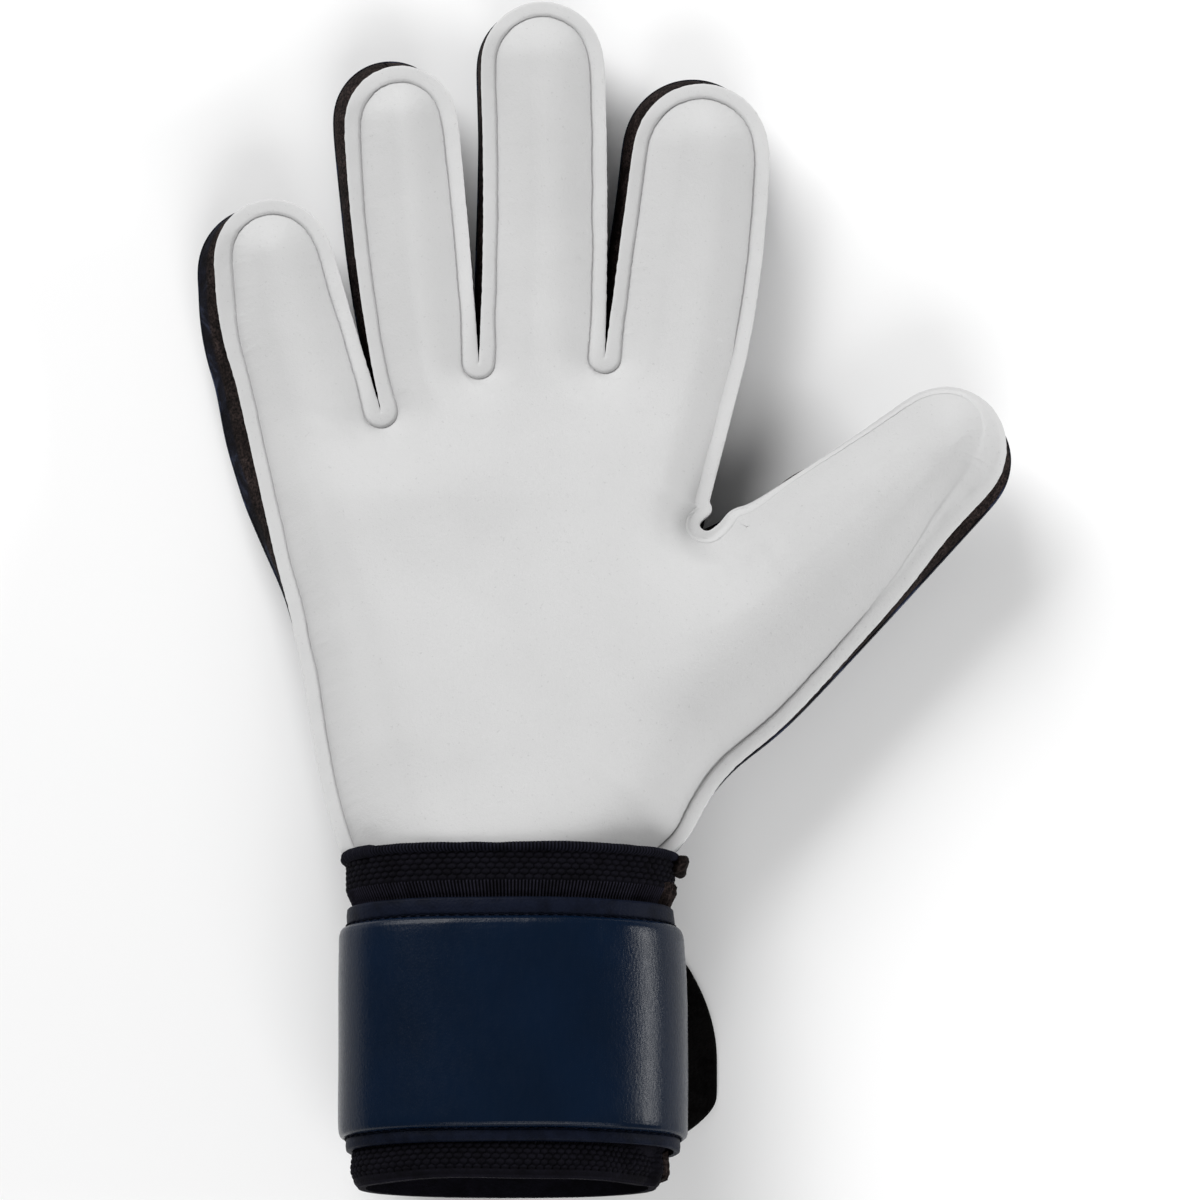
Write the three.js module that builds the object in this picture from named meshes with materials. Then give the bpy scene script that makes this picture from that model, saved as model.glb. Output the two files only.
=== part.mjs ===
// A goalkeeper glove for the right hand, lying on its back with the palm up and held in the form of a hand.
// The fingers point along +Y, the thumb towards +X, and the mouth of the cuff faces -Y.
// Lengths are in millimetres. The pieces are drawn from the middle of the wrist seam, and the last
// lines move them so that the origin lies on the surface under the middle of the glove.
import * as THREE from "three";

// Hand: how long, wide and thick the filled glove is
const PALM_LENGTH = 127.3; // wrist seam to the crotches of the middle finger
const PALM_WIDTH = 124; // across the knuckles, between the cut edges of the palm
const FINGER_LENGTH = 85.2; // middle finger, crotch to tip
const FINGER_WIDTH = 30.2; // middle finger, between the cut edges
const THUMB_LENGTH = 94; // from the palm to the tip
const THUMB_WIDTH = 31.2;
const FINGER_DEPTH = 22; // through a finger, from its back to its palm
const FINGER_LIFT = 7; // how far the tip of the middle finger curls up from the surface
const THUMB_LIFT = 11; // how far the tip of the thumb stands up from the surface

// Cuff and strap
const CUFF_WIDTH = 79; // outside, at the wrist seam
const CUFF_DEPTH = 47; // outside, at the wrist seam
const CUFF_LENGTH = 77.1; // wrist seam to the mouth
const CUFF_WAIST = 1.7; // how far the strap pulls each side of the cuff in
const STRAP_LENGTH = 58; // along the wrist
const STRAP_START = 10.6; // from the wrist seam to the strap
const STRAP_EDGE_WIDTH = 4; // the flat sewn edge on each side of the padding
const TUCK = 6; // how far the hand reaches into the cuff
const TUCK_INSET = 1; // the hand is this much narrower than the cuff's inside
const SHOULDER_FALL = 1; // along the wrist, where the hand narrows to go into the cuff
const TAB_REACH = 7.3; // how far the strap's end stands out past the strap's side

// Thicknesses
const PALM_FOAM = 4;
const BACK_FOAM = 2.5;
const GUSSET_CLOTH = 1.2;
const CUFF_KNIT = 1.8;
const BINDING_WIDTH = 2.2; // along the wrist
const BINDING_RISE = 0.5; // how far the binding stands out from the cuff
const STRAP_PADDING = 3.4;
const STRAP_EDGE = 1.5;
const TAB_THICKNESS = 2.5;

// Seams: the palm is sewn on its outside, so its cut edge stands out past the stitches as a lip
const SEAM_INSET = 3.5;
const LIP = 3; // height of the cut edge
const PINCH = 1.8; // height of the foam where the stitches pull it down
const GAP = 0.3; // between two pieces that are sewn together or rest on each other

// Corners across the finger roots, and on the thumb's side, as shares of the palm's width and length.
const ROOTS = [
  { x: -0.546, y: 0.953 }, // outer side of the pinky
  { x: -0.263, y: 0.91 },
  { x: -0.068, y: 0.996 },
  { x: 0.176, y: 1 },
  { x: 0.454, y: 0.997 }, // outer side of the index finger
];
const CROTCH = { x: 0.373, y: 0.659 }; // between index finger and thumb
const HEEL = { x: 0.37, y: 0.103 }; // where the thumb's outer side meets the wrist

// One row for each finger, with the thumb last. Length is a share of the middle finger's, or the thumb's own.
// Lean is in degrees from +Y towards the thumb. The others are shares of the finger's own width: how far each side
// swells between root and tip, and how far the back layer stands out past each side and the tip. Curl is how high
// the tip rises, as a share of the lift of its kind.
const FINGERS = [
  { name: "pinky", length: 0.552, width: 0.954, lean: -14.5, curl: 0.7, swell: [0.04, 0], back: [0.16, -0.07, 0] },
  { name: "ring", length: 0.895, width: 0.915, lean: -6.3, curl: 0.9, swell: [0.05, 0.01], back: [0.1, -0.07, 0.13] },
  { name: "middle", length: 1, width: 1, lean: 0.1, curl: 1, swell: [-0.03, 0.02], back: [0.06, -0.07, 0.05] },
  { name: "index", length: 0.777, width: 1.1, lean: 7.1, curl: 0.8, swell: [0, 0.03], back: [0.09, -0.06, 0.09] },
  { name: "thumb", length: 1, width: 1, lean: 47.5, curl: 1, swell: [-0.03, 0], back: [-0.07, 0.03, -0.02] },
];
const THUMB = FINGERS.length - 1;

// The back layer stands out past the pinky side of the palm. Rows run from the pinky's root to the wrist: at is a
// share of that way, out a share of FINGER_WIDTH.
const PINKY_SIDE = [
  { at: 0, out: 0.17 },
  { at: 0.12, out: 0.19 },
  { at: 0.25, out: 0.15 },
  { at: 0.42, out: 0.01 },
  { at: 0.8, out: -0.05 },
  { at: 1, out: -0.04 },
];
const BACK_CROTCH_RISE = 0.15; // how far the back's crotches lie past the palm's, as a share of FINGER_WIDTH
const BACK_INSET = 0.03; // how far the back lies inside the palm on the thumb's side, in the same shares

// How the thickness of the hand is shared out, at the wrist and at the fingers
const RIM_SHARE = { wrist: 0.4, finger: 0.32 }; // height of the back layer's rim
const SEAM_SHARE = { wrist: 0.53, finger: 0.69 }; // height of the underside of the palm's cut edge
const CROWN_POWER = { wrist: 3.5, finger: 2 }; // how fast the palm rises from its seam
const DISH_POWER = 2.5; // how fast the back falls from its rim
const REST_FROM = 0.44; // the back lies on the surface from this share of the palm's length
const CUFF_POWER = 2.4; // superellipse of the wrist, where 2 is a plain ellipse

// Cuff: rows from the wrist seam to the mouth. The stretch above the strap is 0 to 1, under the strap 1 to 2, and
// from the strap to the mouth 2 to 3. Pull is how far the cuff is drawn in, as a share of CUFF_WAIST.
const CUFF_ROWS = [
  { at: 0, pull: 0 },
  { at: 0.65, pull: 0.15 },
  { at: 0.95, pull: 1 },
  { at: 1.5, pull: 1 },
  { at: 2, pull: 1 },
  { at: 2.5, pull: 0.8 },
  { at: 2.75, pull: 1.1 },
  { at: 3, pull: 1.6 },
];

// Strap: rows from its edge to its full padding, at counted in widths of its flat edge. Rise is a share of the way
// from the flat edge's thickness to the padding's.
const STRAP_ROWS = [
  { at: 0, rise: 0 },
  { at: 1, rise: 0 },
  { at: 1.4, rise: 0.7 },
  { at: 2.4, rise: 1 },
];

// Tab: places along the strap, as shares of its length
const TAB = { top: 0.1, shoulder: 0.16, noseTop: 0.56, noseBottom: 0.71, heel: 0.86, bottom: 0.92 };
const TAB_HIDDEN = 0.75; // how far it runs back under the wrist, as a share of the cuff's width

// Facets
const SIDE_STEPS = 6; // along the side of a finger
const TIP_STEPS = 4; // round each half of a fingertip
const WEB_STEPS = 4; // from the index finger's root to the thumb's crotch
const ROUND_STEPS = 40; // round the wrist
const BINDING_STEPS = 4; // across the binding
const TAB_STEPS = 6; // round a corner of the tab
const RING_SHARES = [0.25, 0.6]; // rings of facets between the seam and the middle of a finger

// Helpers
const v2 = (x, y) => new THREE.Vector2(x, y);
const mix = (a, b, t) => a + (b - a) * t;
const mixPoints = (a, b, t) => a.clone().lerp(b, t);
const clamp01 = (t) => Math.min(1, Math.max(0, t));
const ease = (t) => clamp01(t) ** 2 * (3 - 2 * clamp01(t));
const rise = (share, power) => 1 - (1 - clamp01(share)) ** power;
const turnRight = (v) => v2(v.y, -v.x);
const steps = (count) => Array.from({ length: count }, (_, i) => i);

// The value of one column of a table at a place along it, with straight lines between its rows.
function readTable(rows, at, column) {
  const next = rows.findIndex((row) => row.at >= at);
  if (next <= 0) return rows[next === 0 ? 0 : rows.length - 1][column];
  const [a, b] = [rows[next - 1], rows[next]];
  return mix(a[column], b[column], (at - a.at) / (b.at - a.at));
}

// Wrist: half widths and half depths of the nested walls, and the height of its middle
const grown = (half, by) => ({ width: half.width + by, depth: half.depth + by });
const cuffHalf = { width: CUFF_WIDTH / 2, depth: CUFF_DEPTH / 2 };
const cuffInside = grown(cuffHalf, -CUFF_KNIT);
const handHalf = grown(cuffInside, -2 * GAP);
const strapInside = grown(cuffHalf, GAP - CUFF_WAIST);
const wristHeight = TAB_THICKNESS + GAP + strapInside.depth + STRAP_PADDING;
const bindingTop = GAP + BINDING_WIDTH;
const strapEnd = STRAP_START + STRAP_LENGTH;
const stretches = [
  { at: 0, from: 0 },
  { at: 1, from: STRAP_START },
  { at: 2, from: strapEnd },
  { at: 3, from: CUFF_LENGTH },
];

// Plan of one layer of the hand: the palm, or the back layer, which is wider on the pinky's side of each finger.
function planOf(isBack) {
  const place = (share) => v2(share.x * PALM_WIDTH, share.y * PALM_LENGTH);
  const inset = isBack ? BACK_INSET * FINGER_WIDTH : 0;
  const roots = ROOTS.map(place);
  const crotch = place(CROTCH).add(v2(-inset, inset));
  const heel = place(HEEL).add(v2(-inset, 0));
  if (isBack) {
    roots.slice(1, THUMB).forEach((root) => root.add(v2(0, BACK_CROTCH_RISE * FINGER_WIDTH)));
    roots[0].add(v2(-PINKY_SIDE[0].out * FINGER_WIDTH, 0));
    roots[THUMB].add(v2(-inset, 0));
  }
  const wristEdge = v2(cuffHalf.width - inset, bindingTop + GAP + SHOULDER_FALL);
  const shoulderEdge = v2(handHalf.width - TUCK_INSET - inset, bindingTop + GAP);
  const tuckEdge = v2(shoulderEdge.x, -TUCK);
  const fingers = FINGERS.map((row, i) => {
    const isThumb = i === THUMB;
    const width = row.width * (isThumb ? THUMB_WIDTH : FINGER_WIDTH);
    const length = row.length * (isThumb ? THUMB_LENGTH : FINGER_LENGTH);
    const palmRoots = isThumb ? [CROTCH, HEEL] : [ROOTS[i], ROOTS[i + 1]];
    const base = mixPoints(...palmRoots.map(place), 0.5);
    const lean = THREE.MathUtils.degToRad(row.lean);
    const axis = v2(Math.sin(lean), Math.cos(lean));
    const across = turnRight(axis);
    const [outLeft, outRight, outTip] = row.back.map((share) => (isBack ? share * width : 0));
    const radius = (width + outLeft + outRight) / 2;
    const tip = base.clone();
    tip.addScaledVector(axis, length + outTip - radius);
    tip.addScaledVector(across, (outRight - outLeft) / 2);
    const ends = isThumb ? [crotch, heel] : [roots[i], roots[i + 1]];
    const swell = row.swell.map((share) => share * width);
    return { name: row.name, ends, swell, base, axis, across, length, width, radius, tip };
  });
  return { isBack, roots, crotch, heel, wristEdge, shoulderEdge, tuckEdge, fingers };
}

// A point on the left (0) or right (1) side of a finger, t running from its root to where its round tip starts.
function sidePoint(finger, side, t) {
  const sign = side === 0 ? -1 : 1;
  const tipSide = finger.tip.clone().addScaledVector(finger.across, sign * finger.radius);
  const bulge = sign * finger.swell[side] * 4 * t * (1 - t);
  return mixPoints(finger.ends[side], tipSide, t).addScaledVector(finger.across, bulge);
}

// One row of points across a finger: cut edge, seam, rings and middle, and the same back to its other edge.
function rowAcross(left, right) {
  const half = left.distanceTo(right) / 2;
  const seam = Math.min(SEAM_INSET / half, 0.5);
  const toMiddle = [0, seam, ...RING_SHARES.map((share) => mix(seam, 1, share)), 1];
  const back = toMiddle.slice(0, -1).reverse();
  return [...toMiddle, ...back.map((share) => 2 - share)].map((share) => mixPoints(left, right, share / 2));
}

// A net of points in the plan, with its triangles.
function emptyNet() {
  const points = [];
  const triangles = [];
  const add = (point) => points.push(point) - 1;
  const face = (a, b, c) => {
    const [p, q, r] = [points[a], points[b], points[c]];
    const area = q.clone().sub(p).cross(r.clone().sub(p));
    if (area !== 0) triangles.push(area > 0 ? [a, b, c] : [a, c, b]);
  };
  const quad = (a, b, c, d) => {
    const cutsAC = points[a].distanceTo(points[c]) <= points[b].distanceTo(points[d]);
    face(a, b, cutsAC ? c : d);
    face(cutsAC ? a : b, c, d);
  };
  const fill = (rows) => {
    for (let i = 1; i < rows.length; i++)
      for (let j = 1; j < rows[i].length; j++) quad(rows[i - 1][j - 1], rows[i - 1][j], rows[i][j], rows[i][j - 1]);
  };
  return { points, triangles, add, face, fill };
}

// Adds a finger above its root row, whose points exist already. Returns its outline up to its tip and down again.
function growFinger(net, finger, rootRow) {
  const rows = [rootRow];
  for (const step of steps(SIDE_STEPS)) {
    const t = (step + 1) / SIDE_STEPS;
    rows.push(rowAcross(sidePoint(finger, 0, t), sidePoint(finger, 1, t)).map(net.add));
  }
  net.fill(rows);
  const last = rows.at(-1);
  const middle = (last.length - 1) / 2;
  const arcs = last.slice(0, middle).map((start, ring) => {
    const radius = net.points[start].distanceTo(finger.tip);
    const between = steps(2 * TIP_STEPS - 1).map((step) => {
      const angle = (Math.PI * (step + 1)) / (2 * TIP_STEPS);
      const point = finger.tip.clone().addScaledVector(finger.across, -radius * Math.cos(angle));
      return net.add(point.addScaledVector(finger.axis, radius * Math.sin(angle)));
    });
    return [start, ...between, last[last.length - 1 - ring]];
  });
  net.fill(arcs);
  const inner = arcs.at(-1);
  for (let i = 1; i < inner.length; i++) net.face(inner[i - 1], inner[i], last[middle]);
  const side = (column) => rows.slice(0, -1).map((row) => row[column]);
  return {
    name: finger.name,
    up: [...side(0), ...arcs[0].slice(0, TIP_STEPS)],
    down: [...arcs[0].slice(TIP_STEPS), ...side(last.length - 1).reverse()],
  };
}

// Left edge of the palm at the heights of its right edge: straight from the pinky's root to the wrist seam.
function leftEdgeOf(plan, rightEdge) {
  const top = v2(ROOTS[0].x * PALM_WIDTH, ROOTS[0].y * PALM_LENGTH);
  const bottom = v2(-cuffHalf.width, plan.wristEdge.y);
  const fall = (point) => (rightEdge[0].y - point.y) / (rightEdge[0].y - plan.wristEdge.y);
  return rightEdge.map((point, i) => {
    if (i === 0) return plan.roots[0];
    if (fall(point) > 1) return v2(-point.x, point.y);
    const out = plan.isBack ? readTable(PINKY_SIDE, fall(point), "out") * FINGER_WIDTH : 0;
    return mixPoints(top, bottom, fall(point)).add(v2(-out, 0));
  });
}

// Adds the palm as a patch between its four edges. Returns its rows of points.
function growPalm(net, topRow, leftEdge, rightEdge) {
  const width = topRow.at(-1).x - topRow[0].x;
  const height = rightEdge[0].y - rightEdge.at(-1).y;
  const across = topRow.map((point) => (point.x - topRow[0].x) / width);
  const rows = rightEdge.map((right, i) => {
    const down = (rightEdge[0].y - right.y) / height;
    return topRow.map((top, j) => {
      if (i === 0) return net.add(top);
      if (j === 0) return net.add(leftEdge[i]);
      if (j === topRow.length - 1) return net.add(right);
      const u = across[j];
      const bottom = mixPoints(leftEdge.at(-1), rightEdge.at(-1), u);
      const corners = mixPoints(mixPoints(leftEdge[0], rightEdge[0], u), bottom, down);
      const sides = mixPoints(leftEdge[i], right, u);
      return net.add(mixPoints(top, bottom, down).add(sides).sub(corners));
    });
  });
  net.fill(rows);
  return rows;
}

// The whole net of a layer, its outline, and the runs of that outline that the gussets follow. A run goes from one
// fingertip to the next, and the first and last start and end in the cuff.
function netOf(plan) {
  const net = emptyNet();
  const { roots, crotch, heel, wristEdge, shoulderEdge, tuckEdge, fingers } = plan;
  const topRow = [roots[0], ...steps(THUMB).flatMap((i) => rowAcross(roots[i], roots[i + 1]).slice(1))];
  const web = steps(WEB_STEPS).map((i) => mixPoints(roots[THUMB], crotch, i / WEB_STEPS));
  const thumbRoot = rowAcross(crotch, heel);
  const rightEdge = [...web, ...thumbRoot, wristEdge, shoulderEdge, tuckEdge];
  const rows = growPalm(net, topRow, leftEdgeOf(plan, rightEdge), rightEdge);

  const columns = (topRow.length - 1) / THUMB;
  const left = rows.map((row) => row[0]);
  const right = rows.map((row) => row.at(-1));
  const heelAt = WEB_STEPS + thumbRoot.length;
  const outlines = fingers.map((finger, i) => {
    const onPalm = i < THUMB ? rows[0].slice(i * columns, (i + 1) * columns + 1) : right.slice(WEB_STEPS, heelAt);
    return growFinger(net, finger, onPalm);
  });

  // A crotch belongs to two fingers, so the run that goes round it lists it once.
  const between = steps(THUMB).map((i) => {
    const [from, to] = [outlines[i], outlines[i + 1]];
    const isWeb = i + 1 === THUMB;
    const start = isWeb ? [...from.down, ...right.slice(1, WEB_STEPS)] : from.down.slice(0, -1);
    return { name: `gusset_${from.name}_${to.name}`, ids: [...start, ...to.up, to.down[0]], crotch: to.up[0] };
  });
  net.runs = [
    { name: "gusset_pinky_side", ids: [...left.slice(1).reverse(), ...outlines[0].up, outlines[0].down[0]] },
    ...between,
    { name: "gusset_thumb_side", ids: [...outlines[THUMB].down, ...right.slice(heelAt)] },
  ];
  net.sewn = net.runs.flatMap((run, i) => run.ids.slice(i ? 1 : 0));
  net.outline = [...net.sewn, ...rows.at(-1).slice(1, -1).reverse()];
  return net;
}

// Distance from a point to the sewn edge of a layer, which leaves out its open end in the cuff.
function edgeDistance(net, point) {
  let best = Infinity;
  for (let i = 1; i < net.sewn.length; i++) {
    const [start, end] = [net.points[net.sewn[i - 1]], net.points[net.sewn[i]]];
    const along = end.clone().sub(start);
    const t = clamp01(point.clone().sub(start).dot(along) / along.lengthSq());
    best = Math.min(best, mixPoints(start, end, t).distanceTo(point));
  }
  return best;
}

// A section of the hand: the back's lowest surface, its rim, the underside of the palm's lip, the highest surface of
// the palm, how far from the edge palm and back reach their full height, and how fast the palm rises.
function sectionOf(low, depth, halfWidth, towardsFingers) {
  const share = (of) => mix(of.wrist, of.finger, towardsFingers);
  return {
    low,
    rim: low + depth * share(RIM_SHARE),
    seam: low + depth * share(SEAM_SHARE),
    crest: low + depth,
    shoulder: halfWidth - SEAM_INSET,
    power: share(CROWN_POWER),
  };
}

// The section at a point of the plan. A finger lifts its own part of the hand, and the thumb blends from the palm
// beside it to a section of its own.
const palmPlan = planOf(false);
const THUMB_FADE = { from: 0.7, to: 1.1 }; // across the thumb, in its widths, where its section gives way
function sectionAt(point) {
  const t = clamp01((point.y - palmPlan.wristEdge.y) / (PALM_LENGTH - palmPlan.wristEdge.y));
  const low = (wristHeight - handHalf.depth) * Math.max(0, 1 - t / REST_FROM) ** 2;
  const depth = mix(2 * handHalf.depth, FINGER_DEPTH, ease(t));
  const hand = sectionOf(low, depth, mix(handHalf.width, FINGER_WIDTH / 2, ease(t)), ease(t));
  const places = palmPlan.fingers.map((finger, i) => {
    const from = point.clone().sub(finger.base);
    const aside = Math.abs(from.dot(finger.across)) / finger.width;
    return { i, along: from.dot(finger.axis) / finger.length, aside };
  });
  const thumb = places[THUMB];
  const finger = places.slice(0, THUMB).reduce((best, other) => (other.aside < best.aside ? other : best));
  const lift = finger.along > 0 ? FINGER_LIFT * FINGERS[finger.i].curl * finger.along ** 2 : 0;
  const fade = 1 - ease((thumb.aside - THUMB_FADE.from) / (THUMB_FADE.to - THUMB_FADE.from));
  const isThumb = finger.along > 0 ? 0 : ease(thumb.along) * fade;
  const thumbSection = sectionOf(THUMB_LIFT * FINGERS[THUMB].curl, FINGER_DEPTH, THUMB_WIDTH / 2, 1);
  for (const key of Object.keys(hand)) hand[key] = mix(hand[key], thumbSection[key], isThumb);
  for (const key of ["low", "rim", "seam", "crest"]) hand[key] += lift;
  return hand;
}

// Heights of the surfaces of the palm and of the back layer, at a distance from their cut edges
const FLAT_UNDER_LIP = SEAM_INSET + GAP;
const RIM_SEAT = GUSSET_CLOTH + 2 * GAP;
function palmTop(section, edge) {
  if (edge < SEAM_INSET) return section.seam + mix(LIP, PINCH, edge / SEAM_INSET);
  const base = section.seam + PINCH;
  return base + (section.crest - base) * rise((edge - SEAM_INSET) / section.shoulder, section.power);
}
function palmUnderside(section, edge) {
  const height = section.crest - PALM_FOAM - section.seam;
  return section.seam + height * rise((edge - FLAT_UNDER_LIP) / section.shoulder, section.power);
}
const dishDepth = (section) => section.rim - BACK_FOAM - section.low;
function backOutside(section, edge) {
  return section.rim - BACK_FOAM - dishDepth(section) * rise(edge / section.shoulder, DISH_POWER);
}
function backInside(section, edge) {
  return section.rim - dishDepth(section) * rise((edge - RIM_SEAT) / section.shoulder, DISH_POWER);
}

// A closed surface from vertices and triangles, turned so that its faces point out.
function solidGeometry(vertices, triangles) {
  let volume = 0;
  for (const [a, b, c] of triangles) volume += vertices[a].dot(vertices[b].clone().cross(vertices[c]));
  const faces = volume > 0 ? triangles : triangles.map(([a, b, c]) => [a, c, b]);
  const geometry = new THREE.BufferGeometry().setFromPoints(vertices);
  geometry.setIndex(faces.flat());
  geometry.computeVertexNormals();
  return geometry;
}

// A layer between two surfaces over its net, closed along its outline.
function layerGeometry(net, upper, lower) {
  const count = net.points.length;
  const places = net.points.map((point) => ({ point, section: sectionAt(point), edge: edgeDistance(net, point) }));
  const surface = (height) =>
    places.map(({ point, section, edge }) => new THREE.Vector3(point.x, point.y, height(section, edge)));
  const triangles = [...net.triangles];
  for (const [a, b, c] of net.triangles) triangles.push([count + a, count + c, count + b]);
  net.outline.forEach((a, i) => {
    const b = net.outline[(i + 1) % net.outline.length];
    triangles.push([a, b, count + b], [a, count + b, count + a]);
  });
  return solidGeometry([...surface(upper), ...surface(lower)], triangles);
}

// A skin over sections with the same number of points, either closed into a ring or capped at both ends.
function loftGeometry(sections, isRing) {
  const size = sections[0].length;
  const triangles = [];
  const last = isRing ? sections.length : sections.length - 1;
  for (const i of steps(last))
    for (const j of steps(size)) {
      const [here, next] = [i * size, ((i + 1) % sections.length) * size];
      const [a, b, c, d] = [here + j, here + ((j + 1) % size), next + j, next + ((j + 1) % size)];
      triangles.push([a, b, d], [a, d, c]);
    }
  const end = last * size;
  for (let j = 1; j < size - 1 && !isRing; j++) triangles.push([0, j + 1, j], [end, end + j, end + j + 1]);
  return solidGeometry(sections.flat(), triangles);
}

// A path beside a run of the outline, moved inwards. It goes round a crotch in three points.
function pathBeside(net, run, inset) {
  const first = net.sewn.indexOf(run.ids[0]);
  const path = [];
  run.ids.forEach((id, i) => {
    const point = net.points[id];
    const neighbour = (step) => net.points[net.sewn[first + i + step]] ?? point;
    const before = point.clone().sub(neighbour(-1)).normalize();
    const after = neighbour(1).clone().sub(point).normalize();
    const along = before.clone().add(after);
    const inwards = [turnRight(before), before.clone().sub(after), turnRight(after)];
    const directions = id === run.crotch ? inwards : [turnRight(along)];
    for (const direction of directions) path.push(point.clone().addScaledVector(direction.normalize(), inset));
  });
  return path;
}

// A strip of cloth between the seam of the palm and the rim of the back, following one run of their outlines.
function gussetGeometry(palm, back, index) {
  const rail = (net, inset, height) =>
    pathBeside(net, net.runs[index], inset).map((point) => {
      return new THREE.Vector3(point.x, point.y, height(sectionAt(point)));
    });
  const underLip = (section) => section.seam - GAP;
  const onRim = (section) => section.rim + GAP;
  const rails = [
    rail(palm, SEAM_INSET - GUSSET_CLOTH, underLip),
    rail(palm, SEAM_INSET, underLip),
    rail(back, GAP + GUSSET_CLOTH, onRim),
    rail(back, GAP, onRim),
  ];
  // Two strips meet at a fingertip, so each stops short of its middle.
  const shorten = (rail, from, to) => {
    const share = GAP / 2 / rail[from].distanceTo(rail[to]);
    rail[from].lerp(rail[to], Math.min(0.5, share));
  };
  for (const points of rails) {
    const last = points.length - 1;
    if (index > 0) shorten(points, 0, 1);
    if (index < palm.runs.length - 1) shorten(points, last, last - 1);
  }
  return loftGeometry(rails[0].map((_, i) => rails.map((points) => points[i])), false);
}

// A wall round the wrist. Its profile is a closed row of points, each with a place along the wrist and the half
// width and half depth of the wrist there.
function wristGeometry(profile) {
  const bend = (value) => Math.sign(value) * Math.abs(value) ** (2 / CUFF_POWER);
  const sections = steps(ROUND_STEPS).map((i) => {
    const angle = (2 * Math.PI * i) / ROUND_STEPS;
    const [across, up] = [bend(Math.cos(angle)), bend(Math.sin(angle))];
    return profile.map(({ y, half }) => new THREE.Vector3(half.width * across, y, wristHeight + half.depth * up));
  });
  return loftGeometry(sections, true);
}

function cuffGeometry() {
  const outer = CUFF_ROWS.map(({ at, pull }) => {
    return { y: -readTable(stretches, at, "from"), half: grown(cuffHalf, -pull * CUFF_WAIST) };
  });
  const inner = outer.map(({ y, half }) => ({ y, half: grown(half, -CUFF_KNIT) })).reverse();
  return wristGeometry([...outer, ...inner]);
}

// Binding: a rounded band that continues the cuff's upper edge
function bindingGeometry() {
  const place = (at, half) => ({ y: GAP + at * BINDING_WIDTH, half });
  const outer = steps(BINDING_STEPS + 1).map((step) => {
    const at = step / BINDING_STEPS;
    return place(at, grown(cuffHalf, BINDING_RISE * Math.sin(Math.PI * at)));
  });
  return wristGeometry([...outer, place(1, cuffInside), place(0, cuffInside)]);
}

// Strap: a padded band with a flat sewn edge on each side
function strapGeometry() {
  const rows = STRAP_ROWS.map(({ at, rise: share }) => ({
    from: at * STRAP_EDGE_WIDTH,
    half: grown(strapInside, mix(STRAP_EDGE, STRAP_PADDING, share)),
  }));
  const near = rows.map(({ from, half }) => ({ y: -STRAP_START - from, half }));
  const far = rows.map(({ from, half }) => ({ y: -strapEnd + from, half })).reverse();
  const inner = [-strapEnd, -STRAP_START].map((y) => ({ y, half: strapInside }));
  return wristGeometry([...near, ...far, ...inner]);
}

// Tab: the free end of the strap, a flat tongue between the strap and the surface. Its rounded end shows past the
// thumb's side of the wrist.
function tabGeometry() {
  const strapSide = strapInside.width + STRAP_PADDING;
  const along = (share) => -STRAP_START - share * STRAP_LENGTH;
  const nose = strapSide + TAB_REACH;
  const hidden = strapSide - TAB_HIDDEN * CUFF_WIDTH;
  const shape = new THREE.Shape();
  shape.moveTo(hidden, along(TAB.bottom));
  shape.lineTo(strapSide - TAB_REACH, along(TAB.bottom));
  shape.lineTo(strapSide, along(TAB.heel));
  shape.quadraticCurveTo(nose, along(mix(TAB.noseBottom, TAB.heel, 0.4)), nose, along(TAB.noseBottom));
  shape.lineTo(nose, along(TAB.noseTop));
  shape.quadraticCurveTo(nose, along(mix(TAB.shoulder, TAB.noseTop, 0.5)), strapSide, along(TAB.shoulder));
  shape.lineTo(strapSide - TAB_REACH / 2, along(TAB.top));
  shape.lineTo(hidden, along(TAB.top));
  return new THREE.ExtrudeGeometry(shape, { depth: TAB_THICKNESS, bevelEnabled: false, curveSegments: TAB_STEPS });
}

// Materials
const material = (color, roughness) => new THREE.MeshStandardMaterial({ color, roughness, metalness: 0 });
const latex = material(0xdcdcdc, 0.85);
const darkCloth = material(0x14151c, 0.8);
const blackMesh = material(0x17120f, 0.9);
const blackKnit = material(0x121117, 0.95);
const navyCoating = material(0x0c1729, 0.45);
const blackTab = material(0x070707, 0.8);

// Assembly
const glove = new THREE.Group();
function addPiece(name, geometry, ownMaterial) {
  const mesh = new THREE.Mesh(geometry, ownMaterial);
  mesh.name = name;
  glove.add(mesh);
}
const palmNet = netOf(palmPlan);
const backNet = netOf(planOf(true));
addPiece("palm_latex", layerGeometry(palmNet, palmTop, palmUnderside), latex);
addPiece("backhand", layerGeometry(backNet, backInside, backOutside), darkCloth);
palmNet.runs.forEach((run, i) => addPiece(run.name, gussetGeometry(palmNet, backNet, i), blackMesh.clone()));
addPiece("cuff_bandage", cuffGeometry(), blackKnit);
addPiece("cuff_binding", bindingGeometry(), blackKnit.clone());
addPiece("wrist_strap", strapGeometry(), navyCoating);
addPiece("strap_tab", tabGeometry(), blackTab);

const box = new THREE.Box3().setFromObject(glove, true);
const middle = box.getCenter(new THREE.Vector3());
glove.position.set(-middle.x, -middle.y, -box.min.z);

export default glove;
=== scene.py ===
import math

import bmesh
import bpy
import numpy as np
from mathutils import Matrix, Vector, kdtree, noise
from mathutils.geometry import delaunay_2d_cdt


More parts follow.
